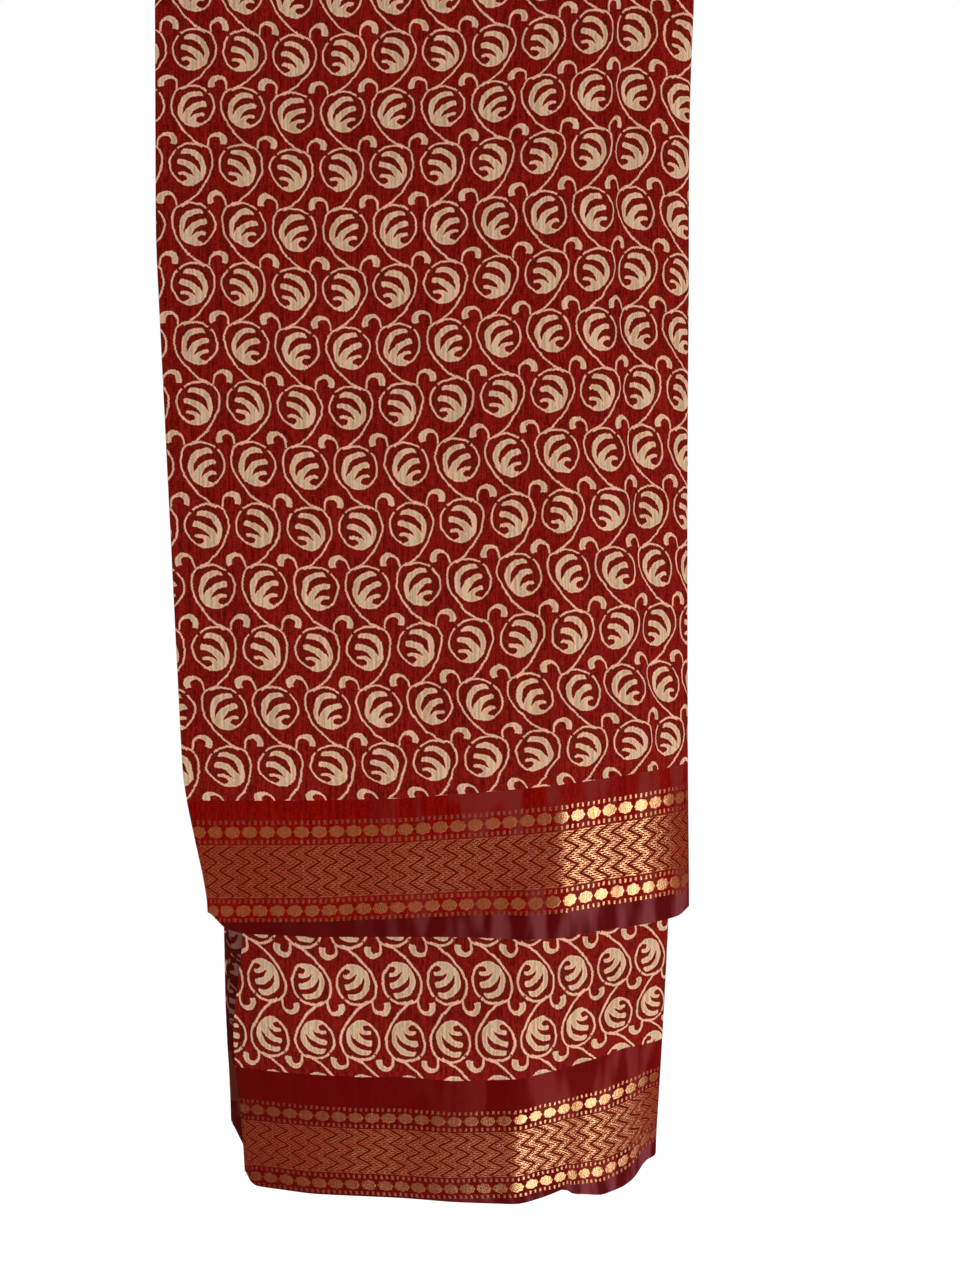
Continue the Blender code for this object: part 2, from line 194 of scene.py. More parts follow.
@dataclass(frozen=True)
class StripForm:
    """The folded strip's form: down the front, over the bar and down the back.

    A place is given by x across and by path, the length along the strip from the top of the fold,
    negative down the front.
    """

    bar_radius: float = 0.008
    stack: float = 0.0090
    spine_fullness: float = 0.0014
    front_curl: float = 0.029
    front_crease: float = 0.0665
    back_curl: float = 0.044
    back_crease: float = 0.0495
    left_curl: float = 0.010
    left_reach: float = 0.060
    left_limit: float = 1.2
    softness: float = 0.05
    front_powers: tuple[float, float, float] = (0.6, 0.25, 0.15)
    back_powers: tuple[float, float, float] = (0.85, 0.1, 0.05)
    curl_start: float = 0.024
    curl_limit: float = 1.1
    early_reach: float = 0.08
    front_early: float = 0.4
    back_early: float = 0.15
    tuck: float = 0.006
    tuck_height: float = 0.080
    tuck_edge: float = 0.02
    tuck_fade: float = 0.045
    full_edge: float = 0.085
    full_width: float = 0.045
    full_start: float = 0.03
    full_height: float = 0.15
    edge_soft: float = 0.012
    front_low: float = -0.4845
    back_low: float = -0.6314
    front_levels: tuple[Level, ...] = (
        Level(0.0000, -0.1335, -0.1320, 0.1317),
        Level(-0.1355, -0.1330, -0.1310, 0.1320),
        Level(-0.2555, -0.1270, -0.1250, 0.1324),
        Level(-0.4055, -0.1195, -0.1180, 0.1335),
        Level(-0.4655, -0.1085, -0.1070, 0.1342),
    )
    back_levels: tuple[Level, ...] = (
        Level(0.0000, -0.1335, -0.1320, 0.1317),
        Level(-0.2500, -0.1210, -0.1130, 0.1312),
        Level(-0.4880, -0.1110, -0.0949, 0.1297),
        Level(-0.5250, -0.1106, -0.0993, 0.1283),
        Level(-0.5450, -0.1102, -0.1016, 0.1275),
        Level(-0.5740, -0.1075, -0.0985, 0.1262),
        Level(-0.5935, -0.1072, -0.0963, 0.1253),
        Level(-0.6220, -0.1062, -0.0944, 0.1238),
    )

    @property
    def mid_radius(self) -> float:
        """Radius of the strip's middle surface over the bar."""
        return self.bar_radius + self.stack / 2

    @property
    def quarter(self) -> float:
        """Path length of a quarter turn over the bar."""
        return self.mid_radius * np.pi / 2

    def path_at(self, z: Array, side: Side) -> Array:
        """Path length at a height of one drop."""
        return side.value * (self.quarter - self.bar_radius - z)

    def height_at(self, path: Array) -> Array:
        """Height of the middle surface: an arc over the bar, then straight down.

        Args:
            path: path lengths.

        Returns:
            The height at each.
        """
        down = np.maximum(np.abs(path) - self.quarter, 0.0)
        angle = np.clip(path, -self.quarter, self.quarter) / self.mid_radius
        return -self.bar_radius + self.mid_radius * np.cos(angle) - down

    def edge(self, path: Array, name: str) -> Array:
        """Place of a named edge of the strip.

        Args:
            path: path lengths.
            name: name of a column of the level tables.

        Returns:
            The place across at each path length.
        """
        z = self.height_at(path)
        front = column(self.front_levels, "z", name, z, self.edge_soft)
        back = column(self.back_levels, "z", name, z, self.edge_soft)
        return np.where(path < 0, front, back)

    def bend(self, x: Array, right: Array, crease: float, powers: Sequence[float]) -> Array:
        """Share of a drop's curl: none before its crease and 1 at the spine.

        It is a sum of the first, third and twelfth power of the share of the way from the crease to
        the spine, softened at the crease.

        Args:
            x: places across.
            right: the spine's place.
            crease: where the curl starts.
            powers: parts of the curl that go with the three powers.

        Returns:
            The share at each place.
        """
        across = (x - crease) / (right - crease)
        across = (across + np.sqrt(across**2 + self.softness**2)) / 2
        first, third, high = powers
        return first * across + third * across**3 + high * across**12

    def recession(self, x: Array, path: Array) -> Array:
        """How far the cloth stands back from straight down.

        Each drop curls back past its crease, and the curl grows down the drop: a part of it soon, as
        the square of the share of the way down, and the rest steadily. The back's left edge curls too,
        and the front's hem is tucked back on the left.

        Args:
            x: places across.
            path: path lengths.

        Returns:
            Distance along Y at each place.
        """
        front_end = self.path_at(self.front_low, Side.BACK)
        back_end = self.path_at(self.back_low, Side.BACK)
        front = np.clip((-path - self.curl_start) / (front_end - self.curl_start), 0.0, self.curl_limit)
        back = np.clip((path - self.curl_start) / (back_end - self.curl_start), 0.0, self.curl_limit)
        reach = self.early_reach**2
        late = 1 - (1 - np.minimum(front, 1)) ** 2
        front_grow = self.front_early * front**2 / (front**2 + reach) + (1 - self.front_early) * late
        back_grow = self.back_early * back**2 / (back**2 + reach) + (1 - self.back_early) * back
        right = self.edge(path, "right")
        front_bend = self.bend(x, right, self.front_crease, self.front_powers)
        back_bend = self.bend(x, right, self.back_crease, self.back_powers)
        curl = self.front_curl * front_grow * front_bend + self.back_curl * back_grow * back_bend
        inward = np.clip(1 - (x - self.edge(path, "left_out")) / self.left_reach, 0.0, self.left_limit)
        left_curl = self.left_curl * back * inward**3
        low_share = ramp((-path - (front_end - self.tuck_height)) / self.tuck_height)
        tuck = self.tuck * low_share * (1 - ramp((x - self.tuck_edge) / self.tuck_fade))
        return curl + left_curl + tuck

    def middle(self, x: Array, path: Array) -> Array:
        """Points of the middle surface.

        Y is the radius times the sine of the angle over the bar, plus how far the cloth stands back.

        Args:
            x: places across.
            path: path lengths.

        Returns:
            Points with their coordinates along the last axis.
        """
        angle = np.clip(path, -self.quarter, self.quarter) / self.mid_radius
        y = self.mid_radius * np.sin(angle) + self.recession(x, path)
        return np.stack([x, y, self.height_at(path)], axis=-1)

    def point(self, x: Array, path: Array, out: Array, beyond: Array = np.zeros(1)) -> Array:
        """Points off the middle surface.

        Args:
            x: places across.
            path: path lengths.
            out: distances along the outward normal, which is the cross product of the directions
                across and along the strip.
            beyond: distances past the strip's right end, along its surface.

        Returns:
            Points with their coordinates along the last axis.
        """
        nudge = 1e-4
        along_x = unit(self.middle(x + nudge, path) - self.middle(x - nudge, path))
        along_path = unit(self.middle(x, path + nudge) - self.middle(x, path - nudge))
        normal = unit(np.cross(along_x, along_path))
        away = unit(np.cross(along_path, normal))
        return self.middle(x, path) + normal * out[..., None] + away * np.asarray(beyond)[..., None]

    def fullness(self, x: Array, path: Array) -> Array:
        """Extra half thickness near the spine, where the folds stand fuller below the bar."""
        below = ramp((np.abs(path) - self.full_start) / self.full_height)
        return self.spine_fullness * ramp((x - self.full_edge) / self.full_width) * below


FORM = StripForm()


# ---------------------------------------------------------------- mesh making


def length_across(grid: Array) -> Array:
    """Arc length along each row of a grid, from its first column."""
    steps = np.linalg.norm(np.diff(grid, axis=1), axis=-1)
    return np.concatenate([np.zeros((len(grid), 1)), np.cumsum(steps, axis=1)], axis=1)


def shell(name: str, grid: Array, thickness: float, maps: dict[str, Array]) -> Thing:
    """Make a closed thin sheet around a grid of points.

    Both of its sides lie half the thickness along the grid's normals, which are the cross products of
    the differences along its columns and rows. Four rims close it, with sharp edges.

    Args:
        name: the object's name.
        grid: points, rows by columns by 3.
        thickness: thickness of the cloth.
        maps: UV maps by name, each rows by columns by 2.

    Returns:
        The new object, linked to the scene.
    """
    rows, columns = grid.shape[:2]
    across = np.gradient(grid, axis=1)
    along = np.gradient(grid, axis=0)
    offset = unit(np.cross(across, along)) * thickness / 2
    points = np.concatenate([(grid + offset).reshape(-1, 3), (grid - offset).reshape(-1, 3)])
    count = rows * columns
    corner = np.arange(rows - 1)[:, None] * columns + np.arange(columns - 1)[None, :]
    top = np.stack([corner, corner + 1, corner + columns + 1, corner + columns], axis=-1).reshape(-1, 4)
    under = top[:, ::-1] + count
    low = np.arange(columns)
    right = np.arange(rows) * columns + columns - 1
    high = np.arange(columns)[::-1] + (rows - 1) * columns
    left = np.arange(rows)[::-1] * columns
    rim = np.concatenate([low, right[1:], high[1:], left[1:]])
    here, there = rim[:-1], rim[1:]
    rims = np.stack([here, here + count, there + count, there], axis=-1)
    faces = np.concatenate([top, under, rims])
    mesh = bpy.data.meshes.new(name)
    mesh.from_pydata(points.tolist(), [], faces.tolist())
    mesh.shade_smooth()

    on_rim = np.zeros(2 * count, bool)
    on_rim[rim] = True
    on_rim[rim + count] = True
    pairs = np.empty(len(mesh.edges) * 2, np.int32)
    mesh.edges.foreach_get("vertices", pairs)
    pairs = pairs.reshape(-1, 2)
    same_side = (pairs[:, 0] < count) == (pairs[:, 1] < count)
    mesh.edges.foreach_set("use_edge_sharp", on_rim[pairs].all(axis=1) & same_side)

    corners = np.empty(len(mesh.loops), np.int32)
    mesh.loops.foreach_get("vertex_index", corners)
    for title, values in maps.items():
        flat = values.reshape(-1, 2)[corners % count]
        mesh.uv_layers.new(name=title).data.foreach_set("uv", flat.ravel().astype(np.float32))
    thing = bpy.data.objects.new(name, mesh)
    bpy.context.scene.collection.objects.link(thing)
    return thing


# ---------------------------------------------------------------- print and weave coordinates


class PrintRow(NamedTuple):
    """Height and place of one printed row's first roundel on the front, beside the left edge."""

    z: float
    x: float


class BackShape(NamedTuple):
    """How far the back drop's lowest two printed rows hang below level at one place across."""

    x: float
    upper: float
    lower: float


class PrintShape(NamedTuple):
    """How far the printed rows hang below level at one column, at the top, middle and low rows."""

    s: float
    top: float
    middle: float
    low: float


@dataclass(frozen=True)
class PrintLay:
    """Where the block print lies on the cloth, in millimetres: s along its rows and v down them.

    Roundels stand every 25 mm along a row and rows every 30 mm. The printer's rows bow and lean a
    little, as the tables give.
    """

    pitch: float = 25.0
    row_pitch: float = 30.0
    lean: float = -0.4
    block_seam: float = 3.5
    block_seam_s: float = 212.0
    low_squeeze: float = 1.12
    low_slant: float = 0.47
    slant_start: float = 0.002
    slant_reach: float = 0.03
    seam_blend: float = 6.0
    shape_soft: float = 8.0
    width_top: float = 0.998
    width_growth: float = 0.036
    back_squeeze: float = 1.1
    back_soft: float = 0.006
    settling: float = 0.42
    back_row_z: float = -0.5446
    back_column_x: float = -0.0817
    back_pitch: float = 23.8
    back_row_pitch: float = 30.2
    back_lean: float = 3.4
    rows: tuple[PrintRow, ...] = (
        PrintRow(-0.0405, -0.1149),
        PrintRow(-0.0685, -0.1141),
        PrintRow(-0.0975, -0.1169),
        PrintRow(-0.1277, -0.1136),
        PrintRow(-0.1575, -0.1159),
        PrintRow(-0.1870, -0.1126),
        PrintRow(-0.2170, -0.1134),
        PrintRow(-0.2475, -0.1091),
        PrintRow(-0.2787, -0.1089),
        PrintRow(-0.3085, -0.1036),
        PrintRow(-0.3400, -0.1054),
        PrintRow(-0.3697, -0.0981),
        PrintRow(-0.3990, -0.0979),
    )
    shape: tuple[PrintShape, ...] = (
        PrintShape(0, 0.0, 0.0, 0.0),
        PrintShape(25, 1.0, -0.5, -0.5),
        PrintShape(50, 4.0, 2.5, -0.5),
        PrintShape(75, 3.0, 2.5, -1.5),
        PrintShape(100, 1.5, 0.5, -3.25),
        PrintShape(125, 0.75, -1.5, -5.0),
        PrintShape(150, -1.5, -4.0, -8.5),
        PrintShape(175, -5.5, -6.5, -9.75),
        PrintShape(200, -9.5, -8.2, -12.5),
        PrintShape(228, -11.5, -11.0, -13.8),
        PrintShape(252, -8.7, -12.3, -13.5),
    )

    back_shape: tuple[BackShape, ...] = (
        BackShape(-0.0846, 0.0, 0.0),
        BackShape(-0.0591, 2.8, 1.3),
        BackShape(-0.0357, 2.7, 2.2),
        BackShape(-0.0114, 1.6, 2.7),
        BackShape(0.0137, 1.3, 2.7),
        BackShape(0.0372, 1.3, 2.2),
        BackShape(0.0598, 1.3, 1.7),
        BackShape(0.0830, 1.7, 0.8),
        BackShape(0.1040, 0.0, -3.0),
        BackShape(0.1240, -2.5, -5.9),
    )

    def on_front(self, across: Array, z: Array) -> Array:
        """Print coordinates on the front drop.

        s is the length across from the row's first roundel, in millimetres, over how much the cloth
        is stretched there, and it jumps on by the block's seam. v is the number of the row at this
        height, lowered by how far the row hangs there, times the row pitch. Past the first and the
        last row it goes on in millimetres.

        Args:
            across: arc length across the cloth, counted so that it equals x on the flat of the face.
            z: heights.

        Returns:
            s and v along the last axis.
        """
        heights = np.array([row.z for row in self.rows])
        places = np.array([row.x for row in self.rows])
        middle_z = heights[len(heights) // 2]
        down = (z - heights[0]) / (heights[-1] - heights[0])
        stretch = 1000.0 * (self.width_top + self.width_growth * down)
        below = np.clip(heights[-1] - self.slant_start - z, 0.0, self.slant_reach)
        first = np.interp(-z, -heights, places) + self.low_slant * below
        s = (across - first) * 1e6 / stretch
        s = s + self.block_seam * ramp((s - self.block_seam_s + self.seam_blend / 2) / self.seam_blend)
        names = ("top", "middle", "low")
        top, mid, low = (column(self.shape, "s", name, s, self.shape_soft) for name in names)
        upper = np.clip((z - middle_z) / (heights[0] - middle_z), 0.0, 1.0)
        lower = np.clip((middle_z - z) / (middle_z - heights[-1]), 0.0, 1.0)
        hang = mid + upper * (top - mid) + lower * (low - mid)
        level = z + hang / 1000
        count = np.arange(len(heights))
        row = np.interp(-level, -heights, count)
        over = np.maximum(level - heights[0], 0) - self.low_squeeze * np.maximum(heights[-1] - level, 0)
        return np.stack([s, self.row_pitch * row - 1000 * over], axis=-1)


LAY = PrintLay()


# ---------------------------------------------------------------- outer cloth


@dataclass(frozen=True)
class OuterCloth(Cloth):
    """The cloth that wraps the strip: its outer face, the round spine and the face by the bar."""

    stretches: tuple[Stretch, ...] = (
        Stretch("front_border", Slot.BORDER, (0.52, 0.070)),
        Stretch("front_field", Slot.PRINTED, (0.53, 0.385)),
        Stretch("crown_field", Slot.PRINTED, (0.54, 0.063)),
        Stretch("back_field", Slot.PRINTED, (0.52, 0.53)),
        Stretch("back_border", Slot.BORDER, (0.49, 0.066)),
    )
    thickness: float = 0.0006
    border_width: float = 75.0
    corner_soft: float = 0.0022
    turn_radius: float = 0.00035
    turn_reach: float = 0.007
    under: tuple[float, ...] = (1.0, 0.6, 0.25)
    bend_columns: int = 6
    face_columns: int = 84
    spine_columns: int = 15
    border_rows: tuple[int, int] = (27, 25)
    field_rows: tuple[int, int] = (130, 160)
    crown_rows: int = 33
    crown_reach: float = 0.012
    rough_edges: tuple[float, float] = (-0.13, 0.132)
    rounds: int = 3
    crease_fade: float = 0.06
    back_extra: float = 9.0
    front_out: tuple[Edge, ...] = (
        Edge(-0.1195, -0.4155, -0.4690),
        Edge(-0.1070, -0.4155, -0.4735),
        Edge(-0.1050, -0.4155, -0.4765),
        Edge(-0.1020, -0.4155, -0.4800),
        Edge(-0.0990, -0.4155, -0.4820),
        Edge(-0.0915, -0.4155, -0.4840),
        Edge(-0.0515, -0.4155, -0.4860),
        Edge(-0.0115, -0.4145, -0.4857),
        Edge(0.0525, -0.4095, -0.4857),
        Edge(0.0900, -0.4057, -0.4824),
        Edge(0.1200, -0.4020, -0.4805),
        Edge(0.1305, -0.4008, -0.4796),
        Edge(0.1335, -0.4003, -0.4768),
    )
    front_in: tuple[Edge, ...] = (
        Edge(-0.1190, -0.4130, -0.4790),
        Edge(0.0400, -0.4110, -0.4800),
        Edge(0.1200, -0.4020, -0.4785),
        Edge(0.1335, -0.4003, -0.4768),
    )
    back_in: tuple[Edge, ...] = (
        Edge(-0.0962, -0.5621, -0.6130),
        Edge(-0.0950, -0.5621, -0.6165),
        Edge(-0.0928, -0.5621, -0.6223),
        Edge(-0.0902, -0.5621, -0.6243),
        Edge(-0.0748, -0.5628, -0.6250),
        Edge(-0.0591, -0.5638, -0.6266),
        Edge(-0.0357, -0.5653, -0.6278),
        Edge(-0.0114, -0.5655, -0.6294),
        Edge(0.0137, -0.5674, -0.6310),
        Edge(0.0372, -0.5667, -0.6318),
        Edge(0.0598, -0.5655, -0.6318),
        Edge(0.0670, -0.5652, -0.6312),
        Edge(0.0720, -0.5650, -0.6302),
        Edge(0.0765, -0.5648, -0.6352),
        Edge(0.0934, -0.5632, -0.6408),
        Edge(0.1060, -0.5605, -0.6400),
        Edge(0.1130, -0.5610, -0.6370),
        Edge(0.1180, -0.5612, -0.6298),
        Edge(0.1240, -0.5615, -0.6300),
    )
    back_out: tuple[Edge, ...] = (
        Edge(-0.1080, -0.5380, -0.5965),
        Edge(-0.1060, -0.5380, -0.6010),
        Edge(-0.1020, -0.5380, -0.6045),
        Edge(0.0100, -0.5400, -0.6075),
        Edge(0.0800, -0.5440, -0.6110),
        Edge(0.1240, -0.5615, -0.6285),
    )
    hidden: tuple[Hidden, ...] = (
        Hidden(-0.1195, 21.1, 26.0),
        Hidden(-0.1070, 16.6, 26.0),
        Hidden(-0.1050, 13.6, 26.0),
        Hidden(-0.1020, 10.1, 26.0),
        Hidden(-0.0990, 8.1, 25.0),
        Hidden(-0.0962, 7.4, 23.0),
        Hidden(-0.0950, 7.1, 19.5),
        Hidden(-0.0928, 6.5, 13.5),
        Hidden(-0.0902, 5.9, 11.7),
        Hidden(-0.0515, 4.1, 11.0),
        Hidden(0.0000, 1.6, 11.0),
        Hidden(0.0300, 0.2, 9.0),
        Hidden(0.0600, 0.0, 7.5),
        Hidden(0.0670, 0.0, 9.3),
        Hidden(0.0720, 0.0, 10.5),
        Hidden(0.0765, 0.0, 7.0),
        Hidden(0.0900, 0.0, 5.0),
        Hidden(0.1200, 0.0, 2.0),
        Hidden(0.1305, 0.7, 2.0),
        Hidden(0.1335, 3.2, 2.0),
    )
    front_creases: tuple[Crease, ...] = (
        Crease(0.0700, 0.0690, 0.060, 0.60, 0.0040, 0.0009),
        Crease(-0.0920, -0.0780, 0.050, 0.44, 0.0140, 0.0006),
        Crease(-0.0300, -0.0420, 0.120, 0.60, 0.0200, -0.0008),
        Crease(0.0250, 0.0300, 0.050, 0.60, 0.0160, 0.0007),
        Crease(0.0960, 0.0900, 0.150, 0.60, 0.0050, -0.0007),
        Crease(0.1080, 0.1120, 0.050, 0.60, 0.0060, 0.0006),
    )
    back_creases: tuple[Crease, ...] = (
        Crease(-0.0900, -0.0700, 0.050, 0.60, 0.0150, 0.0007),
        Crease(-0.0200, -0.0100, 0.100, 0.70, 0.0200, -0.0009),
        Crease(0.0500, 0.0470, 0.080, 0.70, 0.0060, 0.0008),
        Crease(0.0850, 0.0820, 0.200, 0.70, 0.0060, -0.0007),
    )

    @property
    def turned(self) -> int:
        """Number of columns in the turning at each left edge."""
        return len(self.under) + self.bend_columns

    def relief(self, x: Array, path: Array, creases: Sequence[Crease]) -> Array:
        """Height of the creases over a face: a bell across each, fading in and out along it.

        Args:
            x: places across.
            path: path lengths.
            creases: the creases of the drop.

        Returns:
            The height at each place.
        """
        height = np.zeros_like(x)
        down = np.abs(path)
        for crease in creases:
            share = np.clip((down - crease.start) / (crease.end - crease.start), 0.0, 1.0)
            place = crease.top + share * (crease.low - crease.top)
            fade = ramp((down - crease.start) / self.crease_fade)
            fade = fade * ramp((crease.end - down) / self.crease_fade)
            height += crease.height * fade * np.exp(-(((x - place) / crease.width) ** 2))
        return height

    def line(self, table: Sequence[Edge], name: str, side: Side, x: Array) -> Array:
        """Path length of a named line of an edge table at places across."""
        return FORM.path_at(column(table, "x", name, x, self.corner_soft), side)

    def lines(self, name: str, side: Side) -> tuple[Line, Line]:
        """A named line of one drop, on the outer face and on the bar's side."""
        tables = {Side.FRONT: (self.front_out, self.front_in), Side.BACK: (self.back_out, self.back_in)}
        return tuple(partial(self.line, table, name, side) for table in tables[side])

    def face(self, share: float, ends: tuple[Line, Line], left_edge: str, sign: float,
             creases: Sequence[Crease]) -> Row:
        """One row of a face, from its left edge to the spine.

        A path length is the first line's plus the share of the way to the second line's. The edges
        depend on the path lengths and these on the places, so both are worked out in a few rounds.

        Args:
            share: share of the way between the two end lines.
            ends: the two end lines.
            left_edge: name of the face's left edge.
            sign: 1 for the outer face and -1 for the bar's side.
            creases: the creases of the drop.

        Returns:
            Places across, path lengths and distances from the middle surface.
        """
        start, end = ends
        half = FORM.stack / 2 - self.thickness / 2
        across = crowded(self.face_columns)
        x = np.interp(across, [0, 1], self.rough_edges)
        path = start(x) + share * (end(x) - start(x))
        for _ in range(self.rounds):
            left, right = FORM.edge(path, left_edge), FORM.edge(path, "right")
            x = left + across * (right - left)
            path = start(x) + share * (end(x) - start(x))
        return x, path, sign * (half + FORM.fullness(x, path) + self.relief(x, path, creases))

    def turning(self, x: Array, path: Array, out: Array, sign: float) -> Row:
        """The turning at a row's left edge: a half circle, and a flat reach back under the face.

        Args:
            x: the row's places across.
            path: its path lengths.
            out: its distances from the middle surface.
            sign: 1 for the outer face and -1 for the bar's side.

        Returns:
            The same three for the turning, from its hidden end to the row's edge.
        """
        angle = np.linspace(np.pi, 0.0, self.bend_columns + 1)[:-1]
        bend_x = x[0] - self.turn_radius * np.sin(angle)
        bend_out = out[0] - sign * self.turn_radius * (1 - np.cos(angle))
        under_x = x[0] + self.turn_reach * np.array(self.under)
        under_out = np.full(len(self.under), out[0] - sign * 2 * self.turn_radius)
        turn_x = np.concatenate([under_x, bend_x])
        return turn_x, np.full_like(turn_x, path[0]), np.concatenate([under_out, bend_out])

    def profile(self, share: float, start: tuple[Line, Line], end: tuple[Line, Line],
                creases: Sequence[Crease]) -> Row:
        """One row of the cloth round the strip.

        It runs from the turned under left edge along the outer face, round the spine as a half
        circle, and back along the bar's side to its own turned under left edge.

        Args:
            share: share of the way between the two end lines.
            start: the first end line, on the outer face and on the bar's side.
            end: the second end line, in the same order.
            creases: the creases of both faces.

        Returns:
            Points, path lengths and the shares of the way from the first line, along the row.
        """
        outer = self.face(share, (start[0], end[0]), "left_out", 1.0, creases)
        inner = self.face(share, (start[1], end[1]), "left_in", -1.0, creases)
        first, last = self.turning(*outer, 1.0), self.turning(*inner, -1.0)
        turn = np.linspace(0.0, np.pi, self.spine_columns + 2)[1:-1]
        path = outer[1][-1] + turn / np.pi * (inner[1][-1] - outer[1][-1])
        rise = outer[2][-1] + turn / np.pi * (-inner[2][-1] - outer[2][-1])
        spine = FORM.point(FORM.edge(path, "right"), path, rise * np.cos(turn), rise * np.sin(turn))
        points = np.concatenate([FORM.point(*first), FORM.point(*outer), spine,
                                 FORM.point(*inner)[::-1], FORM.point(*last)[::-1]])
        paths = np.concatenate([first[1], outer[1], path, inner[1][::-1], last[1][::-1]])
        return points, paths, np.full(len(paths), share)

    def stretch(self, start: tuple[Line, Line], end: tuple[Line, Line], rows: int,
                creases: Sequence[Crease] = ()) -> Row:
        """All rows between two end lines, as grids of points, path lengths and shares."""
        made = [self.profile(share, start, end, creases) for share in np.linspace(0.0, 1.0, rows)]
        return tuple(np.array(part) for part in zip(*made))

    def across(self, grid: Array) -> Array:
        """Arc length across, counted so that it equals x a third of the way along the outer face.

        Args:
            grid: points, rows by columns by 3.

        Returns:
            The length at each point.
        """
        lengths = length_across(grid)
        middle = slice(self.turned + self.face_columns // 3, self.turned + self.face_columns // 3 + 1)
        return lengths - lengths[:, middle] + grid[:, middle, 0]

    def front_maps(self, grid: Array, path: Array, from_hem: Array) -> dict[str, Array]:
        """UV maps of the front drop.

        Args:
            grid: points, rows by columns by 3.
            path: path lengths.
            from_hem: distances from the hem, in millimetres.

        Returns:
            The two maps by name.
        """
        across = self.across(grid)
        z = -(np.abs(path) - FORM.quarter + FORM.bar_radius)
        return {"print": LAY.on_front(across, z), "weave": np.stack([across * 1000, from_hem], axis=-1)}

    def back_maps(self, grid: Array, path: Array, from_hem: Array) -> dict[str, Array]:
        """UV maps of the back drop.

        The print comes over the bar from the front, and settles down the drop to where it shows below
        the front hem. Whole repeats are left out of the difference between the two.

        Args:
            grid: points, rows by columns by 3.
            path: path lengths.
            from_hem: distances from the hem, in millimetres.

        Returns:
            The two maps by name.
        """
        across = self.across(grid)
        top = LAY.rows[0].z
        crown_s = LAY.on_front(across, np.full_like(across, top))[..., 0]
        crown_v = -1000 * (path + FORM.quarter - FORM.bar_radius - top)
        crown_v = crown_v - column(LAY.shape, "s", "top", crown_s, LAY.shape_soft)
        inner = slice(self.turned + self.face_columns + self.spine_columns, -self.turned)
        at_column = [np.interp(-LAY.back_column_x, -xs, lengths)
                     for xs, lengths in zip(grid[:, inner, 0], across[:, inner])]
        level = 1000 * (FORM.path_at(np.array(LAY.back_row_z), Side.BACK) - path)
        lower = np.clip(1 - level / LAY.back_row_pitch, 0.0, 1.5)
        hang = [column(LAY.back_shape, "x", name, grid[..., 0], LAY.back_soft) for name in ("upper", "lower")]
        rows_up = (level + hang[0] + lower * (hang[1] - hang[0])) / LAY.back_row_pitch
        settled_s = (across - np.array(at_column)[:, None]) * 1000 * LAY.pitch / LAY.back_pitch
        settled_s = settled_s - LAY.lean - LAY.back_lean * rows_up
        settled_v = LAY.row_pitch * np.where(rows_up < 0, LAY.back_squeeze * rows_up, rows_up)
        middle = (len(grid) // 2, grid.shape[1] // 2)
        whole_s = LAY.pitch * np.round((settled_s - crown_s)[middle] / LAY.pitch)
        whole_v = 2 * LAY.row_pitch * np.round((settled_v - crown_v)[middle] / (2 * LAY.row_pitch))
        share = ramp(path / LAY.settling)
        s = crown_s + share * (settled_s - crown_s - whole_s)
        v = crown_v + share * (settled_v - crown_v - whole_v)
        return {"print": np.stack([s, v], axis=-1), "weave": np.stack([across * 1000, from_hem], axis=-1)}

    def build(self) -> list[Thing]:
        """Make the five stretches of the outer cloth.

        Returns:
            The pieces, in the order front border, front field, crown field, back field, back border.
        """
        front_hem, front_seam = self.lines("hem", Side.FRONT), self.lines("seam", Side.FRONT)
        back_seam, back_hem = self.lines("seam", Side.BACK), self.lines("hem", Side.BACK)
        edge = FORM.quarter + self.crown_reach
        front_top, back_top = ((partial(np.full_like, fill_value=path),) * 2 for path in (-edge, edge))
        width = self.border_width
        back_width = width + self.back_extra

        points, path, share = self.stretch(front_hem, front_seam, self.border_rows[0], self.front_creases)
        hidden = column(self.hidden, "x", "front", points[..., 0], self.corner_soft)
        maps = self.front_maps(points, path, hidden + share * (width - hidden))
        pieces = [shell("front_border_cloth", points, self.thickness, maps)]
        points, path, _ = self.stretch(front_seam, front_top, self.field_rows[0], self.front_creases)
        maps = self.front_maps(points, path, width + 1000 * (path - path[:1]))
        pieces.append(shell("front_field_cloth", points, self.thickness, maps))

        points, path, _ = self.stretch(front_top, back_top, self.crown_rows)
        maps = self.front_maps(points, -np.abs(path), 1000 * path)
        maps["print"][..., 1] -= np.where(path < 0, 0, 2 * 1000 * path)
        pieces.append(shell("crown_cloth", points, self.thickness, maps))

        points, path, _ = self.stretch(back_top, back_seam, self.field_rows[1], self.back_creases)
        maps = self.back_maps(points, path, back_width + 1000 * (path[-1:] - path))
        pieces.append(shell("back_field_cloth", points, self.thickness, maps))
        points, path, share = self.stretch(back_seam, back_hem, self.border_rows[1], self.back_creases)
        on_inner = np.arange(points.shape[1]) >= self.turned + self.face_columns + self.spine_columns // 2
        under = column(self.hidden, "x", "back", points[..., 0], self.corner_soft)
        hidden = np.where(on_inner, under, 0.0)
        maps = self.back_maps(points, path, hidden + (1 - share) * (back_width - hidden))
        pieces.append(shell("back_border_cloth", points, self.thickness, maps))
        return pieces


# ---------------------------------------------------------------- folded layers


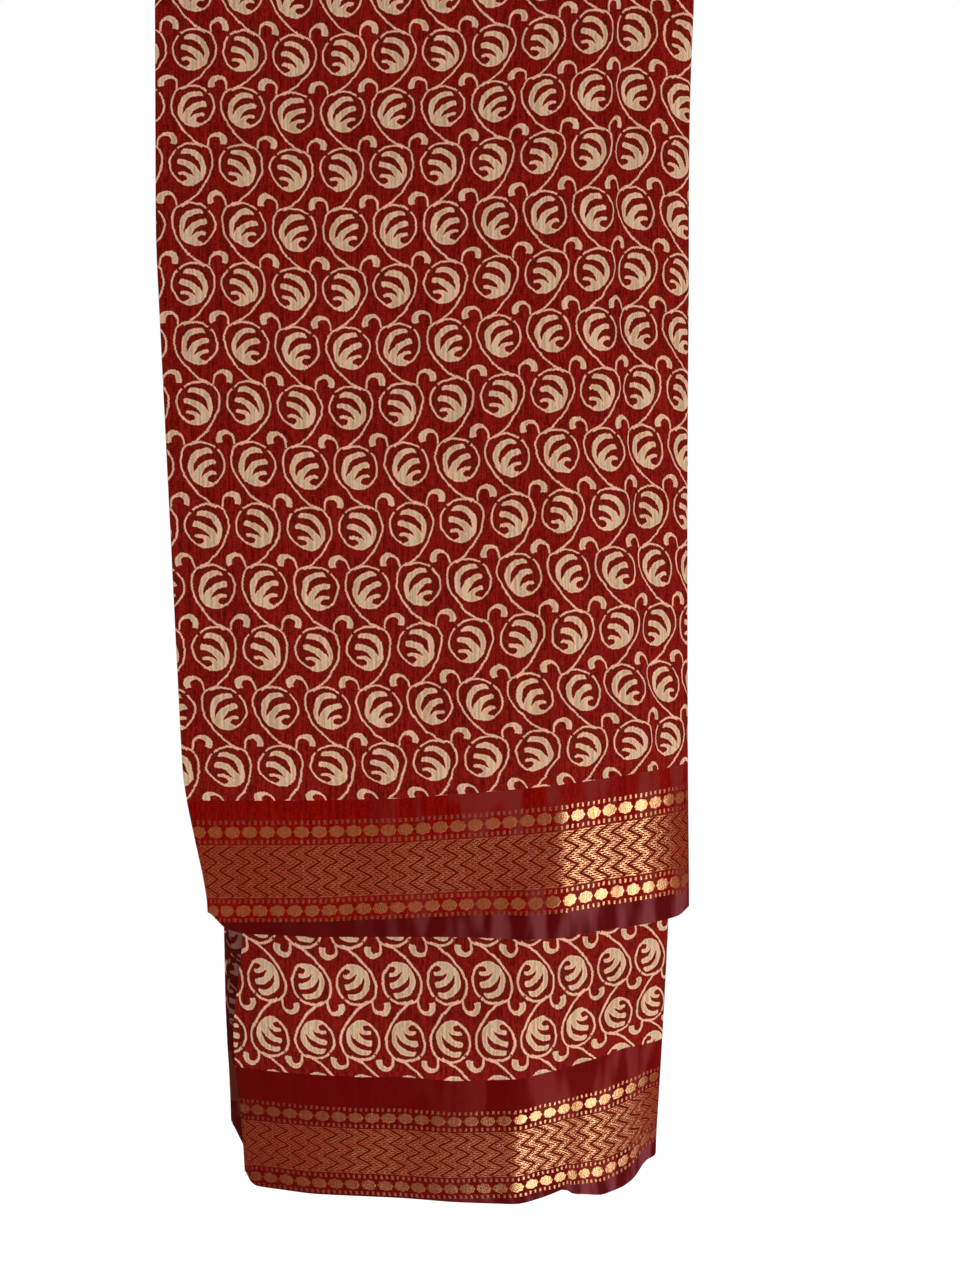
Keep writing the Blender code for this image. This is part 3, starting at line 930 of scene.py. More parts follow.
@dataclass(frozen=True)
class FoldedLayers(Cloth):
    """The rest of the cloth, folded to and fro inside the outer cloth as one zigzag sheet."""

    stretches: tuple[Stretch, ...] = (Stretch("hidden_layers", Slot.FOLDED, (3.4, 1.12)),)
    folds: int = 7
    thickness: float = 0.00034
    half: float = 0.0033
    columns: int = 16
    corner: float = 0.008
    spine_share: float = 0.6
    front_end: float = -0.4730
    front_step: float = -0.0035
    back_end: float = -0.6230
    back_step: float = 0.0180
    wave_length: float = 0.21
    wave_shift: float = 1.7
    crown: tuple[float, float] = (-0.08, 0.06)
    row_counts: tuple[int, int, int] = (36, 20, 44)
    fan: tuple[float, ...] = (0.05, 0.12, 0.20, 0.54, 0.62, 0.93, 0.98)
    setbacks: tuple[float, ...] = (0.0022, 0.0006, 0.0026, 0.0004, 0.0024, 0.0004, 0.0012)
    waves: tuple[float, ...] = (0.0008, -0.0006, 0.0009, -0.0008, 0.0005, -0.0009, 0.0007)

    def rows(self) -> Array:
        """Path shares down the front, over the bar and down the back, closer together over the bar."""
        low, high = self.crown
        front, over, back = (np.linspace(start, end, count) for start, end, count in
                             zip((-1.0, low, high), (low, high, 1.0), self.row_counts))
        return np.concatenate([front, over[1:-1], back])

    def ply(self, number: int, rightward: bool, path: Array, level: float) -> Row:
        """One layer, from edge to edge.

        Its left edge lies between the strip's two left edges, waves a little and rounds off at the
        hems. Its right edge fills the round spine.

        Args:
            number: number of its fold.
            rightward: whether it runs from left to right.
            path: path lengths of its rows.
            level: its distance from the middle surface.

        Returns:
            Places across, path lengths and distances from the middle surface.
        """
        share = np.where(path < 0, (level + self.half) / (2 * self.half), self.fan[number])
        left = (1 - share) * FORM.edge(path, "left_in") + share * FORM.edge(path, "left_out")
        wave = self.waves[number] * np.sin(2 * np.pi * path / self.wave_length + self.wave_shift * number)
        to_end = np.where(path < 0, path - path.min(), path.max() - path)
        corner = np.clip(1 - to_end / self.corner, 0.0, 1.0)
        left = left + self.setbacks[number] + wave + self.corner * (1 - np.sqrt(1 - corner**2))
        into_spine = self.spine_share * np.sqrt(max(self.half**2 - level**2, 0.0))
        right = FORM.edge(path, "right") + into_spine
        x = left[:, None] + crowded(self.columns)[None, :] * (right - left)[:, None]
        x = x if rightward else x[:, ::-1]
        return x, np.broadcast_to(path[:, None], x.shape), np.full(x.shape, level)

    def build(self) -> list[Thing]:
        """Make the zigzag sheet: each layer runs across, turns and runs back a step further out.

        Returns:
            The piece, in a list.
        """
        last = 2 * self.folds - 1
        gap = 2 * self.half / last
        shares = self.rows()
        angle = np.array([-0.25, 0.25]) * np.pi
        rows = []
        for layer in range(last + 1):
            level = -self.half + gap * layer
            reach = layer / last
            front_end = FORM.path_at(np.array(self.front_end + self.front_step * reach), Side.BACK)
            back_end = FORM.path_at(np.array(self.back_end + self.back_step * reach), Side.BACK)
            path = shares * np.where(shares < 0, front_end, back_end)
            x, paths, levels = self.ply(layer // 2, layer % 2 == 1, path, level)
            rows.append((x, paths, levels))
            if layer < last:
                side = -1.0 if layer % 2 == 0 else 1.0
                rise = level + gap / 2 + gap / 2 * np.repeat(np.sin(angle)[None, :], len(x), axis=0)
                rows.append((x[:, -1:] + side * gap / 2 * np.cos(angle)[None, :],
                             np.repeat(paths[:, -1:], 2, axis=1), rise))
        x, path, level = (np.concatenate(part, axis=1) for part in zip(*rows))
        points = FORM.point(x, path, level * (1 + FORM.fullness(x, path) / self.half))
        across = length_across(points) * 1000
        from_hem = 1000 * np.where(path < 0, path - path[:1], path[-1:] - path)
        maps = {"print": np.stack([across, -1000 * path], axis=-1),
                "weave": np.stack([across, from_hem], axis=-1)}
        return [shell("folded_layers_cloth", points, self.thickness, maps)]


# ---------------------------------------------------------------- shader building


class Board:
    """Lays nodes in one node tree. A socket or a plain number can stand at any input."""

    def __init__(self, tree: Tree) -> None:
        """Start laying nodes in a tree."""
        self.tree = tree

    def put(self, socket: Socket, value: object) -> None:
        """Link a socket to an input, or set the input's own value."""
        if isinstance(value, Socket):
            self.tree.links.new(value, socket)
        else:
            socket.default_value = value

    def feed(self, node: Node, **values: object) -> Node:
        """Put values at a node's inputs.

        Args:
            node: the node.
            values: values by the input's name, underscores standing for spaces.

        Returns:
            The node.
        """
        for name, value in values.items():
            self.put(node.inputs[name.replace("_", " ")], value)
        return node

    def node(self, kind: str, **settings: object) -> Node:
        """Add a node.

        Args:
            kind: its type.
            settings: its properties by name.

        Returns:
            The node.
        """
        made = self.tree.nodes.new(kind)
        for name, value in settings.items():
            setattr(made, name, value)
        return made

    def lay(self, kind: str, operation: str, *values: object) -> Node:
        """Add a Math or Vector Math node.

        Args:
            kind: its type.
            operation: what it does.
            values: its inputs in order.

        Returns:
            The node.
        """
        made = self.node(kind, operation=operation)
        for socket, value in zip(made.inputs, values):
            self.put(socket, value)
        return made

    def math(self, operation: str, *values: Number) -> Socket:
        """Add a Math node and give its output."""
        return self.lay("ShaderNodeMath", operation, *values).outputs[0]

    def times(self, value: Number, other: Number) -> Socket:
        """Multiply two values."""
        return self.math("MULTIPLY", value, other)

    def times_plus(self, value: Number, factor: Number, more: Number) -> Socket:
        """Multiply a value by a factor, then add more."""
        return self.math("MULTIPLY_ADD", value, factor, more)

    def plus(self, value: Number, other: Number) -> Socket:
        """Add two values."""
        return self.math("ADD", value, other)

    def minus(self, value: Number, other: Number) -> Socket:
        """Take the other value from the first."""
        return self.math("SUBTRACT", value, other)

    def absolute(self, value: Number) -> Socket:
        """A value without its sign."""
        return self.math("ABSOLUTE", value)

    def larger(self, value: Number, other: Number) -> Socket:
        """The larger of two values."""
        return self.math("MAXIMUM", value, other)

    def smaller(self, value: Number, other: Number) -> Socket:
        """The smaller of two values."""
        return self.math("MINIMUM", value, other)

    def vector(self, operation: str, *values: object) -> Socket:
        """Add a Vector Math node and give its vector or value output."""
        single = operation in ("LENGTH", "DISTANCE")
        return self.lay("ShaderNodeVectorMath", operation, *values).outputs["Value" if single else "Vector"]

    def split(self, vector: Socket) -> tuple[Socket, Socket]:
        """The X and Y of a vector."""
        made = self.feed(self.node("ShaderNodeSeparateXYZ"), Vector=vector)
        return made.outputs[0], made.outputs[1]

    def join(self, x: Number, y: Number) -> Socket:
        """A vector from its X and Y."""
        return self.feed(self.node("ShaderNodeCombineXYZ"), X=x, Y=y).outputs[0]

    def fade(self, value: Number, start: float, end: float) -> Socket:
        """A smooth share.

        Args:
            value: the value that it follows.
            start: where the share is 0.
            end: where it is 1.

        Returns:
            The share.
        """
        rising = start < end
        made = self.node("ShaderNodeMapRange", interpolation_type="SMOOTHSTEP")
        self.feed(made, Value=value, From_Min=min(start, end), From_Max=max(start, end),
                  To_Min=0.0 if rising else 1.0, To_Max=1.0 if rising else 0.0)
        return made.outputs["Result"]

    def mix(self, share: Number, low: object, high: object) -> Socket:
        """Mix two colours.

        Args:
            share: share of the second colour.
            low: the first colour.
            high: the second colour.

        Returns:
            The mixed colour.
        """
        made = self.node("ShaderNodeMix", data_type="RGBA")
        for index, value in ((0, share), (6, low), (7, high)):
            self.put(made.inputs[index], value)
        return made.outputs[2]

    def noise(self, place: Socket, scale: float, detail: float = 2.0) -> Node:
        """Add a noise over two dimensions."""
        made = self.node("ShaderNodeTexNoise", noise_dimensions="2D")
        return self.feed(made, Vector=place, Scale=scale, Detail=detail)

    def streaks(self, place: Socket, x: float, y: float, scale: float = 1.0, detail: float = 1.0) -> Socket:
        """Noise over a place that is multiplied along each direction."""
        return self.noise(self.vector("MULTIPLY", place, (x, y, 1.0)), scale, detail).outputs[0]

    def group(self, tree: Tree, **values: object) -> Node:
        """Add a node group, with its inputs by name, underscores standing for spaces."""
        return self.feed(self.node("ShaderNodeGroup", node_tree=tree), **values)


class GroupPlan:
    """A node group while it is made, with its named inputs and outputs."""

    def __init__(self, name: str, inputs: dict[str, str], outputs: dict[str, str]) -> None:
        """Make an empty group.

        Args:
            name: the group's name.
            inputs: kinds of socket by name: Float, Vector or Color.
            outputs: the same for what it puts out.
        """
        self.tree = bpy.data.node_groups.new(name, "ShaderNodeTree")
        for way, sockets in (("INPUT", inputs), ("OUTPUT", outputs)):
            for title, kind in sockets.items():
                self.tree.interface.new_socket(name=title, in_out=way, socket_type=f"NodeSocket{kind}")
        self.board = Board(self.tree)
        self.inputs = self.board.node("NodeGroupInput").outputs
        self.outputs = self.board.node("NodeGroupOutput").inputs

    def give(self, name: str, value: Socket) -> None:
        """Put a value out."""
        self.board.put(self.outputs[name], value)


class Spot(NamedTuple):
    """A circle of the printed motif, in millimetres from the roundel's centre, y down."""

    x: float
    y: float
    radius: float


class Oval(NamedTuple):
    """An oval of the printed motif, in millimetres from the roundel's centre, y down."""

    x: float
    y: float
    half_width: float
    half_height: float


@dataclass(frozen=True)
class VinePrint:
    """The block print: a wavy vine, a leaf with three fingers in each roundel, and small hooks.

    The leaf is a disc inside the roundel's oval, less four dark parts: two crescents between its
    fingers, each inside one circle and outside another, a small pool under the third finger, and the
    ground left of the fingertips. The parts join softly, which rounds the fingertips.

    Deep, halo and inside are where these masks start and are full, in millimetres outside the print's
    edge or the roundel's line. The wanders are how far an edge moves, in millimetres, and the scales
    how often a millimetre of cloth changes it.
    """

    pitch: float = LAY.pitch
    row_pitch: float = LAY.row_pitch
    lean: float = LAY.lean
    ring: Oval = Oval(0.2, 0.35, 10.45, 10.85)
    ring_width: float = 0.54
    ring_gap: Spot = Spot(-7.3, -7.4, 0.75)
    leaf: Spot = Spot(-1.7, 1.7, 9.45)
    first_gap: tuple[Spot, Spot] = (Spot(-2.8, 2.75, 7.9), Spot(-5.6, 9.0, 11.5))
    second_gap: tuple[Spot, Spot] = (Spot(-5.5, 7.2, 6.8), Spot(-4.2, 10.8, 7.1))
    pool: Oval = Oval(-4.5, 7.2, 2.4, 1.65)
    tips: Spot = Spot(11.75, 1.7, 18.3)
    rounding: float = 1.8
    rim_rounding: float = 1.2
    ring_end: float = 1.6
    ring_slant: float = 0.45
    hook: Spot = Spot(12.0, -11.7, 3.75)
    hook_width: float = 1.08
    hook_swell: float = 0.14
    hook_end: float = 0.9
    hook_slant: float = 0.2
    hook_rounding: float = 0.8
    stem_middle: float = 1.3
    stem_half: float = 1.5
    vine: tuple[tuple[float, float], ...] = (
        (-15.0, -2.4), (-14.2, -1.5), (-13.0, 0.0), (-11.8, 1.5), (-11.0, 2.9), (-10.3, 4.6), (-9.5, 6.3),
        (-8.7, 7.8), (-7.5, 9.2), (-5.7, 10.3), (-3.3, 11.2), (-0.4, 11.5), (2.5, 11.0), (5.0, 10.0),
        (6.9, 8.9), (9.0, 7.5), (10.9, 6.0), (12.8, 4.5), (14.1, 3.4), (15.0, 2.4),
    )
    vine_width: float = 0.51
    slope_step: float = 0.4
    blur: float = 0.2
    deep: tuple[float, float] = (-0.35, -0.95)
    halo: tuple[float, float] = (1.5, 0.1)
    inside: tuple[float, float] = (0.3, -0.9)
    hand_wander: float = 1.3
    hand_scale: float = 0.16
    weft_wander: float = 1.1
    warp_wander: float = 0.9
    along_scale: float = 0.12
    across_scale: float = 1.7

    def spot(self, b: Board, place: Socket, it: Spot) -> Socket:
        """Distance to a circle, below zero inside it."""
        return b.minus(b.vector("DISTANCE", place, (it.x, it.y, 0.0)), it.radius)

    def outside(self, b: Board, place: Socket, it: Spot) -> Socket:
        """Distance to a circle, below zero outside it."""
        return b.minus(it.radius, b.vector("DISTANCE", place, (it.x, it.y, 0.0)))

    def oval(self, b: Board, place: Socket, it: Oval) -> Socket:
        """Distance to an oval: the length of the place, scaled to a unit circle, times the mean radius.

        Args:
            b: the board.
            place: the place.
            it: the oval.

        Returns:
            The distance, below zero inside the oval.
        """
        aside = b.vector("SUBTRACT", place, (it.x, it.y, 0.0))
        scaled = b.vector("DIVIDE", aside, (it.half_width, it.half_height, 1.0))
        mean = (it.half_width + it.half_height) / 2
        return b.times_plus(b.vector("LENGTH", scaled), mean, -mean)

    def crescent(self, b: Board, place: Socket, parts: tuple[Spot, Spot]) -> Socket:
        """Distance to a dark crescent between two fingers, inside one circle and outside another."""
        return b.larger(self.spot(b, place, parts[0]), self.outside(b, place, parts[1]))

    def cell(self, b: Board, s: Socket, v: Socket, x: float, y: float) -> Socket:
        """The place from the nearest copy of a point of the motif, mirrored in every second row.

        Args:
            b: the board.
            s: places along the rows.
            v: places down the rows.
            x: the point's place along its row.
            y: its place down from its row.

        Returns:
            The place as a vector.
        """
        row = b.math("ROUND", b.times_plus(v, 1 / self.row_pitch, -y / self.row_pitch))
        sign = b.times_plus(b.math("FLOORED_MODULO", row, 2.0), -2.0, 1.0)
        down = b.times_plus(row, -self.row_pitch, b.minus(v, y))
        right = b.math("WRAP", b.times_plus(s, sign, -x), self.pitch / 2, -self.pitch / 2)
        return b.join(right, down)

    def vine_line(self, b: Board, v: Socket) -> Socket:
        """Place of the vine at each height: a curve through its points, mirrored in every second row.

        Args:
            b: the board.
            v: places down the rows.

        Returns:
            The place along the rows.
        """
        start = self.vine[0][0]
        turns = b.times_plus(v, 1 / self.row_pitch, -start / self.row_pitch)
        made = b.feed(b.node("ShaderNodeFloatCurve"), Value=b.math("FRACT", turns))
        curve = made.mapping.curves[0]
        while len(curve.points) < len(self.vine):
            curve.points.new(0.5, 0.5)
        for point, (y, x) in zip(curve.points, self.vine):
            point.location = ((y - start) / self.row_pitch, x / self.pitch + 0.5)
        made.mapping.update()
        odd = b.math("FLOORED_MODULO", b.math("FLOOR", turns), 2.0)
        place = b.times_plus(made.outputs[0], self.pitch, -self.pitch / 2)
        return b.times(place, b.times_plus(odd, -2.0, 1.0))

    def leaf_shape(self, b: Board, place: Socket, ring: Socket) -> Socket:
        """Distance to the leaf: its disc inside the ring, less the dark parts joined softly.

        Args:
            b: the board.
            place: the place from the roundel's centre.
            ring: distance to the roundel's oval.

        Returns:
            The distance, below zero inside the leaf.
        """
        dark = self.outside(b, place, self.tips)
        for gap in (self.crescent(b, place, self.first_gap), self.crescent(b, place, self.second_gap),
                    self.oval(b, place, self.pool)):
            dark = b.math("SMOOTH_MIN", dark, gap, self.rounding)
        dark = b.larger(dark, b.plus(ring, self.ring_width))
        disc = self.spot(b, place, self.leaf)
        leaf = b.math("SMOOTH_MAX", disc, b.times(dark, -1.0), self.rim_rounding)
        return b.larger(leaf, b.minus(ring, self.ring_width))

    def ring_line(self, b: Board, place: Socket, ring: Socket) -> Socket:
        """Distance to the roundel's line, open on the right, where the vine passes, and at a small gap.

        Args:
            b: the board.
            place: the place from the roundel's centre.
            ring: distance to the roundel's oval.

        Returns:
            The distance, below zero inside the line.
        """
        right, down = b.split(place)
        past = b.times_plus(down, self.ring_slant, b.minus(right, self.ring_end))
        past = b.larger(past, self.outside(b, place, self.ring_gap))
        return b.larger(b.minus(b.absolute(ring), self.ring_width), past)

    def hook_shape(self, b: Board, place: Socket) -> Socket:
        """Distance to a hook: half a circle that swells to its blunt end, on a short stem.

        Args:
            b: the board.
            place: the place from the hook's centre.

        Returns:
            The distance, below zero inside the hook.
        """
        right, down = b.split(place)
        width = b.times_plus(right, self.hook_swell, self.hook_width)
        circle = b.minus(b.vector("LENGTH", place), self.hook.radius)
        end = b.minus(down, b.times_plus(right, self.hook_slant, self.hook_end))
        bow = b.math("SMOOTH_MAX", b.minus(b.absolute(circle), width), end, self.hook_rounding)
        stem = b.minus(b.absolute(b.plus(right, self.hook.radius)), self.vine_width)
        ends = b.minus(b.absolute(b.minus(down, self.stem_middle)), self.stem_half)
        return b.smaller(bow, b.larger(stem, ends))

    def thread_jitter(self, b: Board, place: Socket) -> Socket:
        """The place moved a little: by the printer's hand, and thread by thread at every edge.

        Args:
            b: the board.
            place: the place.

        Returns:
            The place moved.
        """
        hand, weft, warp = self.hand_wander, self.weft_wander, self.warp_wander
        along, over = self.along_scale, self.across_scale
        across = b.times_plus(b.streaks(place, along, over), warp, -warp / 2)
        down = b.times_plus(b.streaks(place, over, along), weft, -weft / 2)
        wander = b.noise(place, self.hand_scale, 1.0).outputs["Color"]
        wander = b.vector("MULTIPLY_ADD", wander, (hand, hand, 0.0), (-hand / 2, -hand / 2, 0.0))
        return b.vector("ADD", place, b.vector("ADD", b.join(across, down), wander))

    def group(self) -> Tree:
        """Make the print's node group.

        Returns:
            A group that gives the print's mask, how deep a place lies inside it, the dark rim round it
            and the inside of the roundels.
        """
        plan = GroupPlan("vine print", {"Vector": "Vector", "Bold": "Float"},
                         {"Print": "Float", "Deep": "Float", "Halo": "Float", "Inside": "Float"})
        b = plan.board
        s, v = b.split(self.thread_jitter(b, plan.inputs["Vector"]))
        local = self.cell(b, s, v, -self.lean, 0.0)
        ring = self.oval(b, local, self.ring)
        vine_x = self.vine_line(b, v)
        next_x = self.vine_line(b, b.plus(v, self.slope_step))
        slope = b.times(b.minus(next_x, vine_x), 1 / self.slope_step)
        steep = b.math("SQRT", b.times_plus(slope, slope, 1.0))
        aside = b.math("WRAP", b.minus(s, vine_x), self.pitch / 2, -self.pitch / 2)
        vine = b.minus(b.math("DIVIDE", b.absolute(aside), steep), self.vine_width)
        hook = self.hook_shape(b, self.cell(b, s, v, self.hook.x - self.lean, self.hook.y))
        roundel = b.smaller(self.ring_line(b, local, ring), self.leaf_shape(b, local, ring))
        shape = b.minus(b.smaller(roundel, b.smaller(vine, hook)), plan.inputs["Bold"])
        plan.give("Print", b.fade(shape, self.blur, -self.blur))
        plan.give("Deep", b.fade(shape, *self.deep))
        plan.give("Halo", b.fade(shape, *self.halo))
        plan.give("Inside", b.fade(ring, *self.inside))
        return plan.tree


@dataclass(frozen=True)
class HandWeave:
    """The hand-loomed ground.

    The warp runs across the strip and the thicker, uneven weft runs down it. Both come from noise
    drawn out along the threads, by a factor for each direction, and so do the slubs.
    """

    weft: tuple[float, float] = (1.0, 0.10)
    warp: tuple[float, float] = (0.14, 1.0)
    slub: tuple[float, float] = (1.0, 0.028)
    thread_scale: float = 2.3
    slub_scale: float = 0.75
    detail: float = 2.0
    weft_share: float = 0.6
    slub_share: float = 0.25
    tones: tuple[float, float] = (0.40, 0.60)
    slubs: tuple[float, float] = (0.35, 0.65)

    def group(self) -> Tree:
        """Make the ground's node group.

        The height is a share of the weft and the rest of the warp. The tone is the height, less a
        share, and that share of the slubs.

        Returns:
            A group that gives the thread height, a tone that varies by thread and the slubs.
        """
        plan = GroupPlan("hand weave", {"Vector": "Vector"},
                         {"Height": "Float", "Tone": "Float", "Slub": "Float"})
        b, place = plan.board, plan.inputs["Vector"]
        weft = b.streaks(place, *self.weft, self.thread_scale, self.detail)
        warp = b.streaks(place, *self.warp, self.thread_scale, self.detail)
        slub = b.streaks(place, *self.slub, self.slub_scale, self.detail)
        height = b.plus(b.times(weft, self.weft_share), b.times(warp, 1.0 - self.weft_share))
        tone = b.plus(b.times(height, 1.0 - self.slub_share), b.times(slub, self.slub_share))
        plan.give("Height", height)
        plan.give("Tone", b.fade(tone, *self.tones))
        plan.give("Slub", b.fade(slub, *self.slubs))
        return plan.tree


@dataclass(frozen=True)
class ZariBands:
    """The woven border by distance from the hem, in millimetres.

    It is the same above and below the line along its middle: a zigzag band, then a row of dots, a row
    of rosettes and a second row of dots on each side. The zigzag's dark lines are solid on one side
    and stitched on the other. The edges and the rims say where a mask is 0 and where it is full.
    """

    pitch: float = 8.7
    wander: float = 0.8
    wander_scale: float = 0.3
    middle: float = 38.5
    middle_blur: float = 0.5
    rosettes: float = 20.5
    dot_rows: tuple[float, float] = (20.45, 4.95)
    dot_size: tuple[float, float] = (0.55, 0.95)
    dots_gold: float = 0.8
    rosette_size: tuple[float, float] = (3.75, 2.9)
    rosette_rim: tuple[float, float] = (1.06, 0.9)
    zigzag: float = 13.5
    zigzag_blur: float = 0.3
    zigzag_period: float = 8.7
    zigzag_swing: float = 7.25
    line_width: float = 1.75
    line_solid: float = 0.45
    dotted_shift: float = 0.6
    dotted_edge: tuple[float, float] = (1.35, 0.85)
    dotted_share: float = 0.9
    stitch: float = 0.55
    stitch_edge: tuple[float, float] = (0.14, 0.28)
    petals: float = 8.0
    petal_depth: float = 0.06
    blur: float = 0.15
    selvedge: float = 12.4
    selvedge_blur: float = 0.4

    def group(self) -> Tree:
        """Make the border's node group.

        Returns:
            A group that gives masks of its gold, rosettes, dots, dark lines and selvedge.
        """
        titles = ("Gold", "Rosettes", "Dots", "Dark", "Selvedge")
        plan = GroupPlan("zari bands", {"Vector": "Vector"}, dict.fromkeys(titles, "Float"))
        b, wander = plan.board, self.wander
        wobble = b.noise(plan.inputs["Vector"], self.wander_scale, 1.0).outputs["Color"]
        wobble = b.vector("MULTIPLY_ADD", wobble, (wander, wander, 0.0), (-wander / 2, -wander / 2, 0.0))
        u, w = b.split(b.vector("ADD", plan.inputs["Vector"], wobble))
        folded = b.absolute(b.minus(w, self.middle))

        turn = b.math("PINGPONG", w, self.zigzag_period / 2)
        slant = b.times_plus(turn, 2 * self.zigzag_swing / self.zigzag_period, u)
        line = b.math("PINGPONG", slant, self.pitch / 2)
        solid = b.fade(line, self.line_width, self.line_width * self.line_solid)
        row = b.absolute(b.minus(line, self.pitch / 4 + self.dotted_shift))
        stitch = b.math("PINGPONG", w, self.stitch)
        dotted = b.times(b.fade(row, *self.dotted_edge), b.fade(stitch, *self.stitch_edge))
        inner = b.fade(folded, self.zigzag + self.zigzag_blur, self.zigzag - self.zigzag_blur)
        dark = b.times(inner, b.larger(solid, b.times(dotted, self.dotted_share)))

        below = b.fade(w, self.middle + self.middle_blur, self.middle - self.middle_blur)
        below = b.times(below, self.pitch / 2)
        aside = b.math("WRAP", b.plus(u, below), self.pitch / 2, -self.pitch / 2)
        place = b.join(aside, b.minus(folded, self.rosettes))
        scaled = b.vector("DIVIDE", place, (*self.rosette_size, 1.0))
        across, along = b.split(scaled)
        petals = b.math("COSINE", b.times(b.math("ARCTAN2", along, across), self.petals))
        edge = b.times_plus(petals, -self.petal_depth, b.vector("LENGTH", scaled))
        rosettes = b.fade(edge, *self.rosette_rim)

        tick_x = b.absolute(b.math("WRAP", u, self.pitch / 6, -self.pitch / 6))
        tick_y = b.absolute(b.minus(folded, self.dot_rows[0]))
        tick_y = b.absolute(b.minus(tick_y, self.dot_rows[1]))
        dots = b.times(*(b.fade(tick, half + self.blur, half - self.blur)
                         for tick, half in zip((tick_x, tick_y), self.dot_size)))

        zigzag = b.times(inner, b.minus(1.0, dark))
        gold = b.larger(b.larger(zigzag, rosettes), b.times(dots, self.dots_gold))
        selvedge = b.fade(w, self.selvedge + self.selvedge_blur, self.selvedge - self.selvedge_blur)
        for title, mask in zip(titles, (gold, rosettes, dots, dark, selvedge)):
            plan.give(title, mask)
        return plan.tree


# ---------------------------------------------------------------- finishes


def srgb(red: int, green: int, blue: int) -> Colour:
    """A colour for a shader.

    Args:
        red: screen value of 0 to 255.
        green: the same.
        blue: the same.

    Returns:
        The linear colour, opaque.
    """
    values = np.array([red, green, blue]) / 255
    linear = np.where(values <= 0.04045, values / 12.92, ((values + 0.055) / 1.055) ** 2.4)
    return (*(float(value) for value in linear), 1.0)


def new_material(name: str) -> tuple[Material, Board, Node]:
    """Make a new material.

    Args:
        name: its name.

    Returns:
        The material, its board and its shader.
    """
    material = bpy.data.materials.new(name)
    material.use_nodes = True
    return material, Board(material.node_tree), material.node_tree.nodes["Principled BSDF"]


def uv_map(b: Board, name: str) -> Socket:
    """A UV map's coordinates."""
    return b.node("ShaderNodeUVMap", uv_map=name).outputs[0]


def add_thread_bump(b: Board, shader: Node, height: Socket, strength: float) -> None:
    """Give a shader the relief of the threads, 0.4 mm deep at full strength."""
    bump = b.feed(b.node("ShaderNodeBump"), Strength=strength, Distance=0.0004, Height=height)
    b.put(shader.inputs["Normal"], bump.outputs[0])


# Where the cloth turns from its outer face to the bar's side, in millimetres across the weave map.
BAR_SIDE = (130.0, 170.0)


@dataclass(frozen=True)
class PrintedCloth:
    """Red cotton and silk, block printed in cream.

    The colours: the ground's lighter and darker threads, the stained ground beside and inside the
    print, the print's edges, and its cream. The print is wider by fine millimetres on the outer face
    and by bold on the bar's side. Wear is where the noise's value means worn and unworn print, and
    cover is the worn print's cover and how much unworn print adds to it.
    """

    ground: Colour = srgb(143, 25, 16)
    ground_dark: Colour = srgb(88, 6, 3)
    halo: Colour = srgb(76, 22, 8)
    edge: Colour = srgb(252, 180, 152)
    cream: Colour = srgb(208, 185, 150)
    cream_dim: Colour = srgb(180, 152, 118)
    fine: float = -0.08
    bold: float = 0.10
    line_wear: float = 0.03
    halo_share: float = 0.45
    inside_share: float = 0.2
    wear: tuple[float, float] = (0.26, 0.40)
    cover: tuple[float, float] = (0.68, 0.3)
    roughness: float = 0.7
    specular: float = 0.03
    relief: float = 0.35

    def material(self, vine: Tree, weave: Tree) -> Material:
        """Make the material.

        The print is finer on the outer face and bolder on the bar's side. Its cream is thin where the
        cloth is worn, and its edges are paler than the leaves' middles.

        Args:
            vine: the print's node group.
            weave: the ground's node group.

        Returns:
            The material.
        """
        material, b, shader = new_material("printed_cloth")
        place = uv_map(b, "weave")
        threads = b.group(weave, Vector=place).outputs
        side = b.fade(b.split(place)[0], *BAR_SIDE)
        bold = b.times_plus(side, self.bold - self.fine, self.fine)
        prints = b.group(vine, Vector=uv_map(b, "print"), Bold=bold).outputs
        shade = b.times_plus(prints["Inside"], self.inside_share, b.times(prints["Halo"], self.halo_share))
        ground = b.mix(shade, b.mix(threads["Tone"], self.ground_dark, self.ground), self.halo)
        cream = b.mix(threads["Slub"], self.cream_dim, self.cream)
        edge = b.mix(b.times_plus(threads["Slub"], 0.5, 0.5), self.cream_dim, self.edge)
        cream = b.mix(prints["Deep"], edge, cream)
        wear = b.fade(b.streaks(place, 1.0, 0.5, 0.9, 3.0), *self.wear)
        least, more = self.cover
        cover = b.times(prints["Print"], b.times_plus(wear, more, least))
        thin = b.times(b.minus(1.0, prints["Deep"]), b.minus(1.0, side))
        cover = b.times(cover, b.times_plus(thin, -self.line_wear, 1.0))
        b.feed(shader, Base_Color=b.mix(cover, ground, cream), Roughness=self.roughness,
               Specular_IOR_Level=self.specular)
        add_thread_bump(b, shader, threads["Height"], self.relief)
        return material


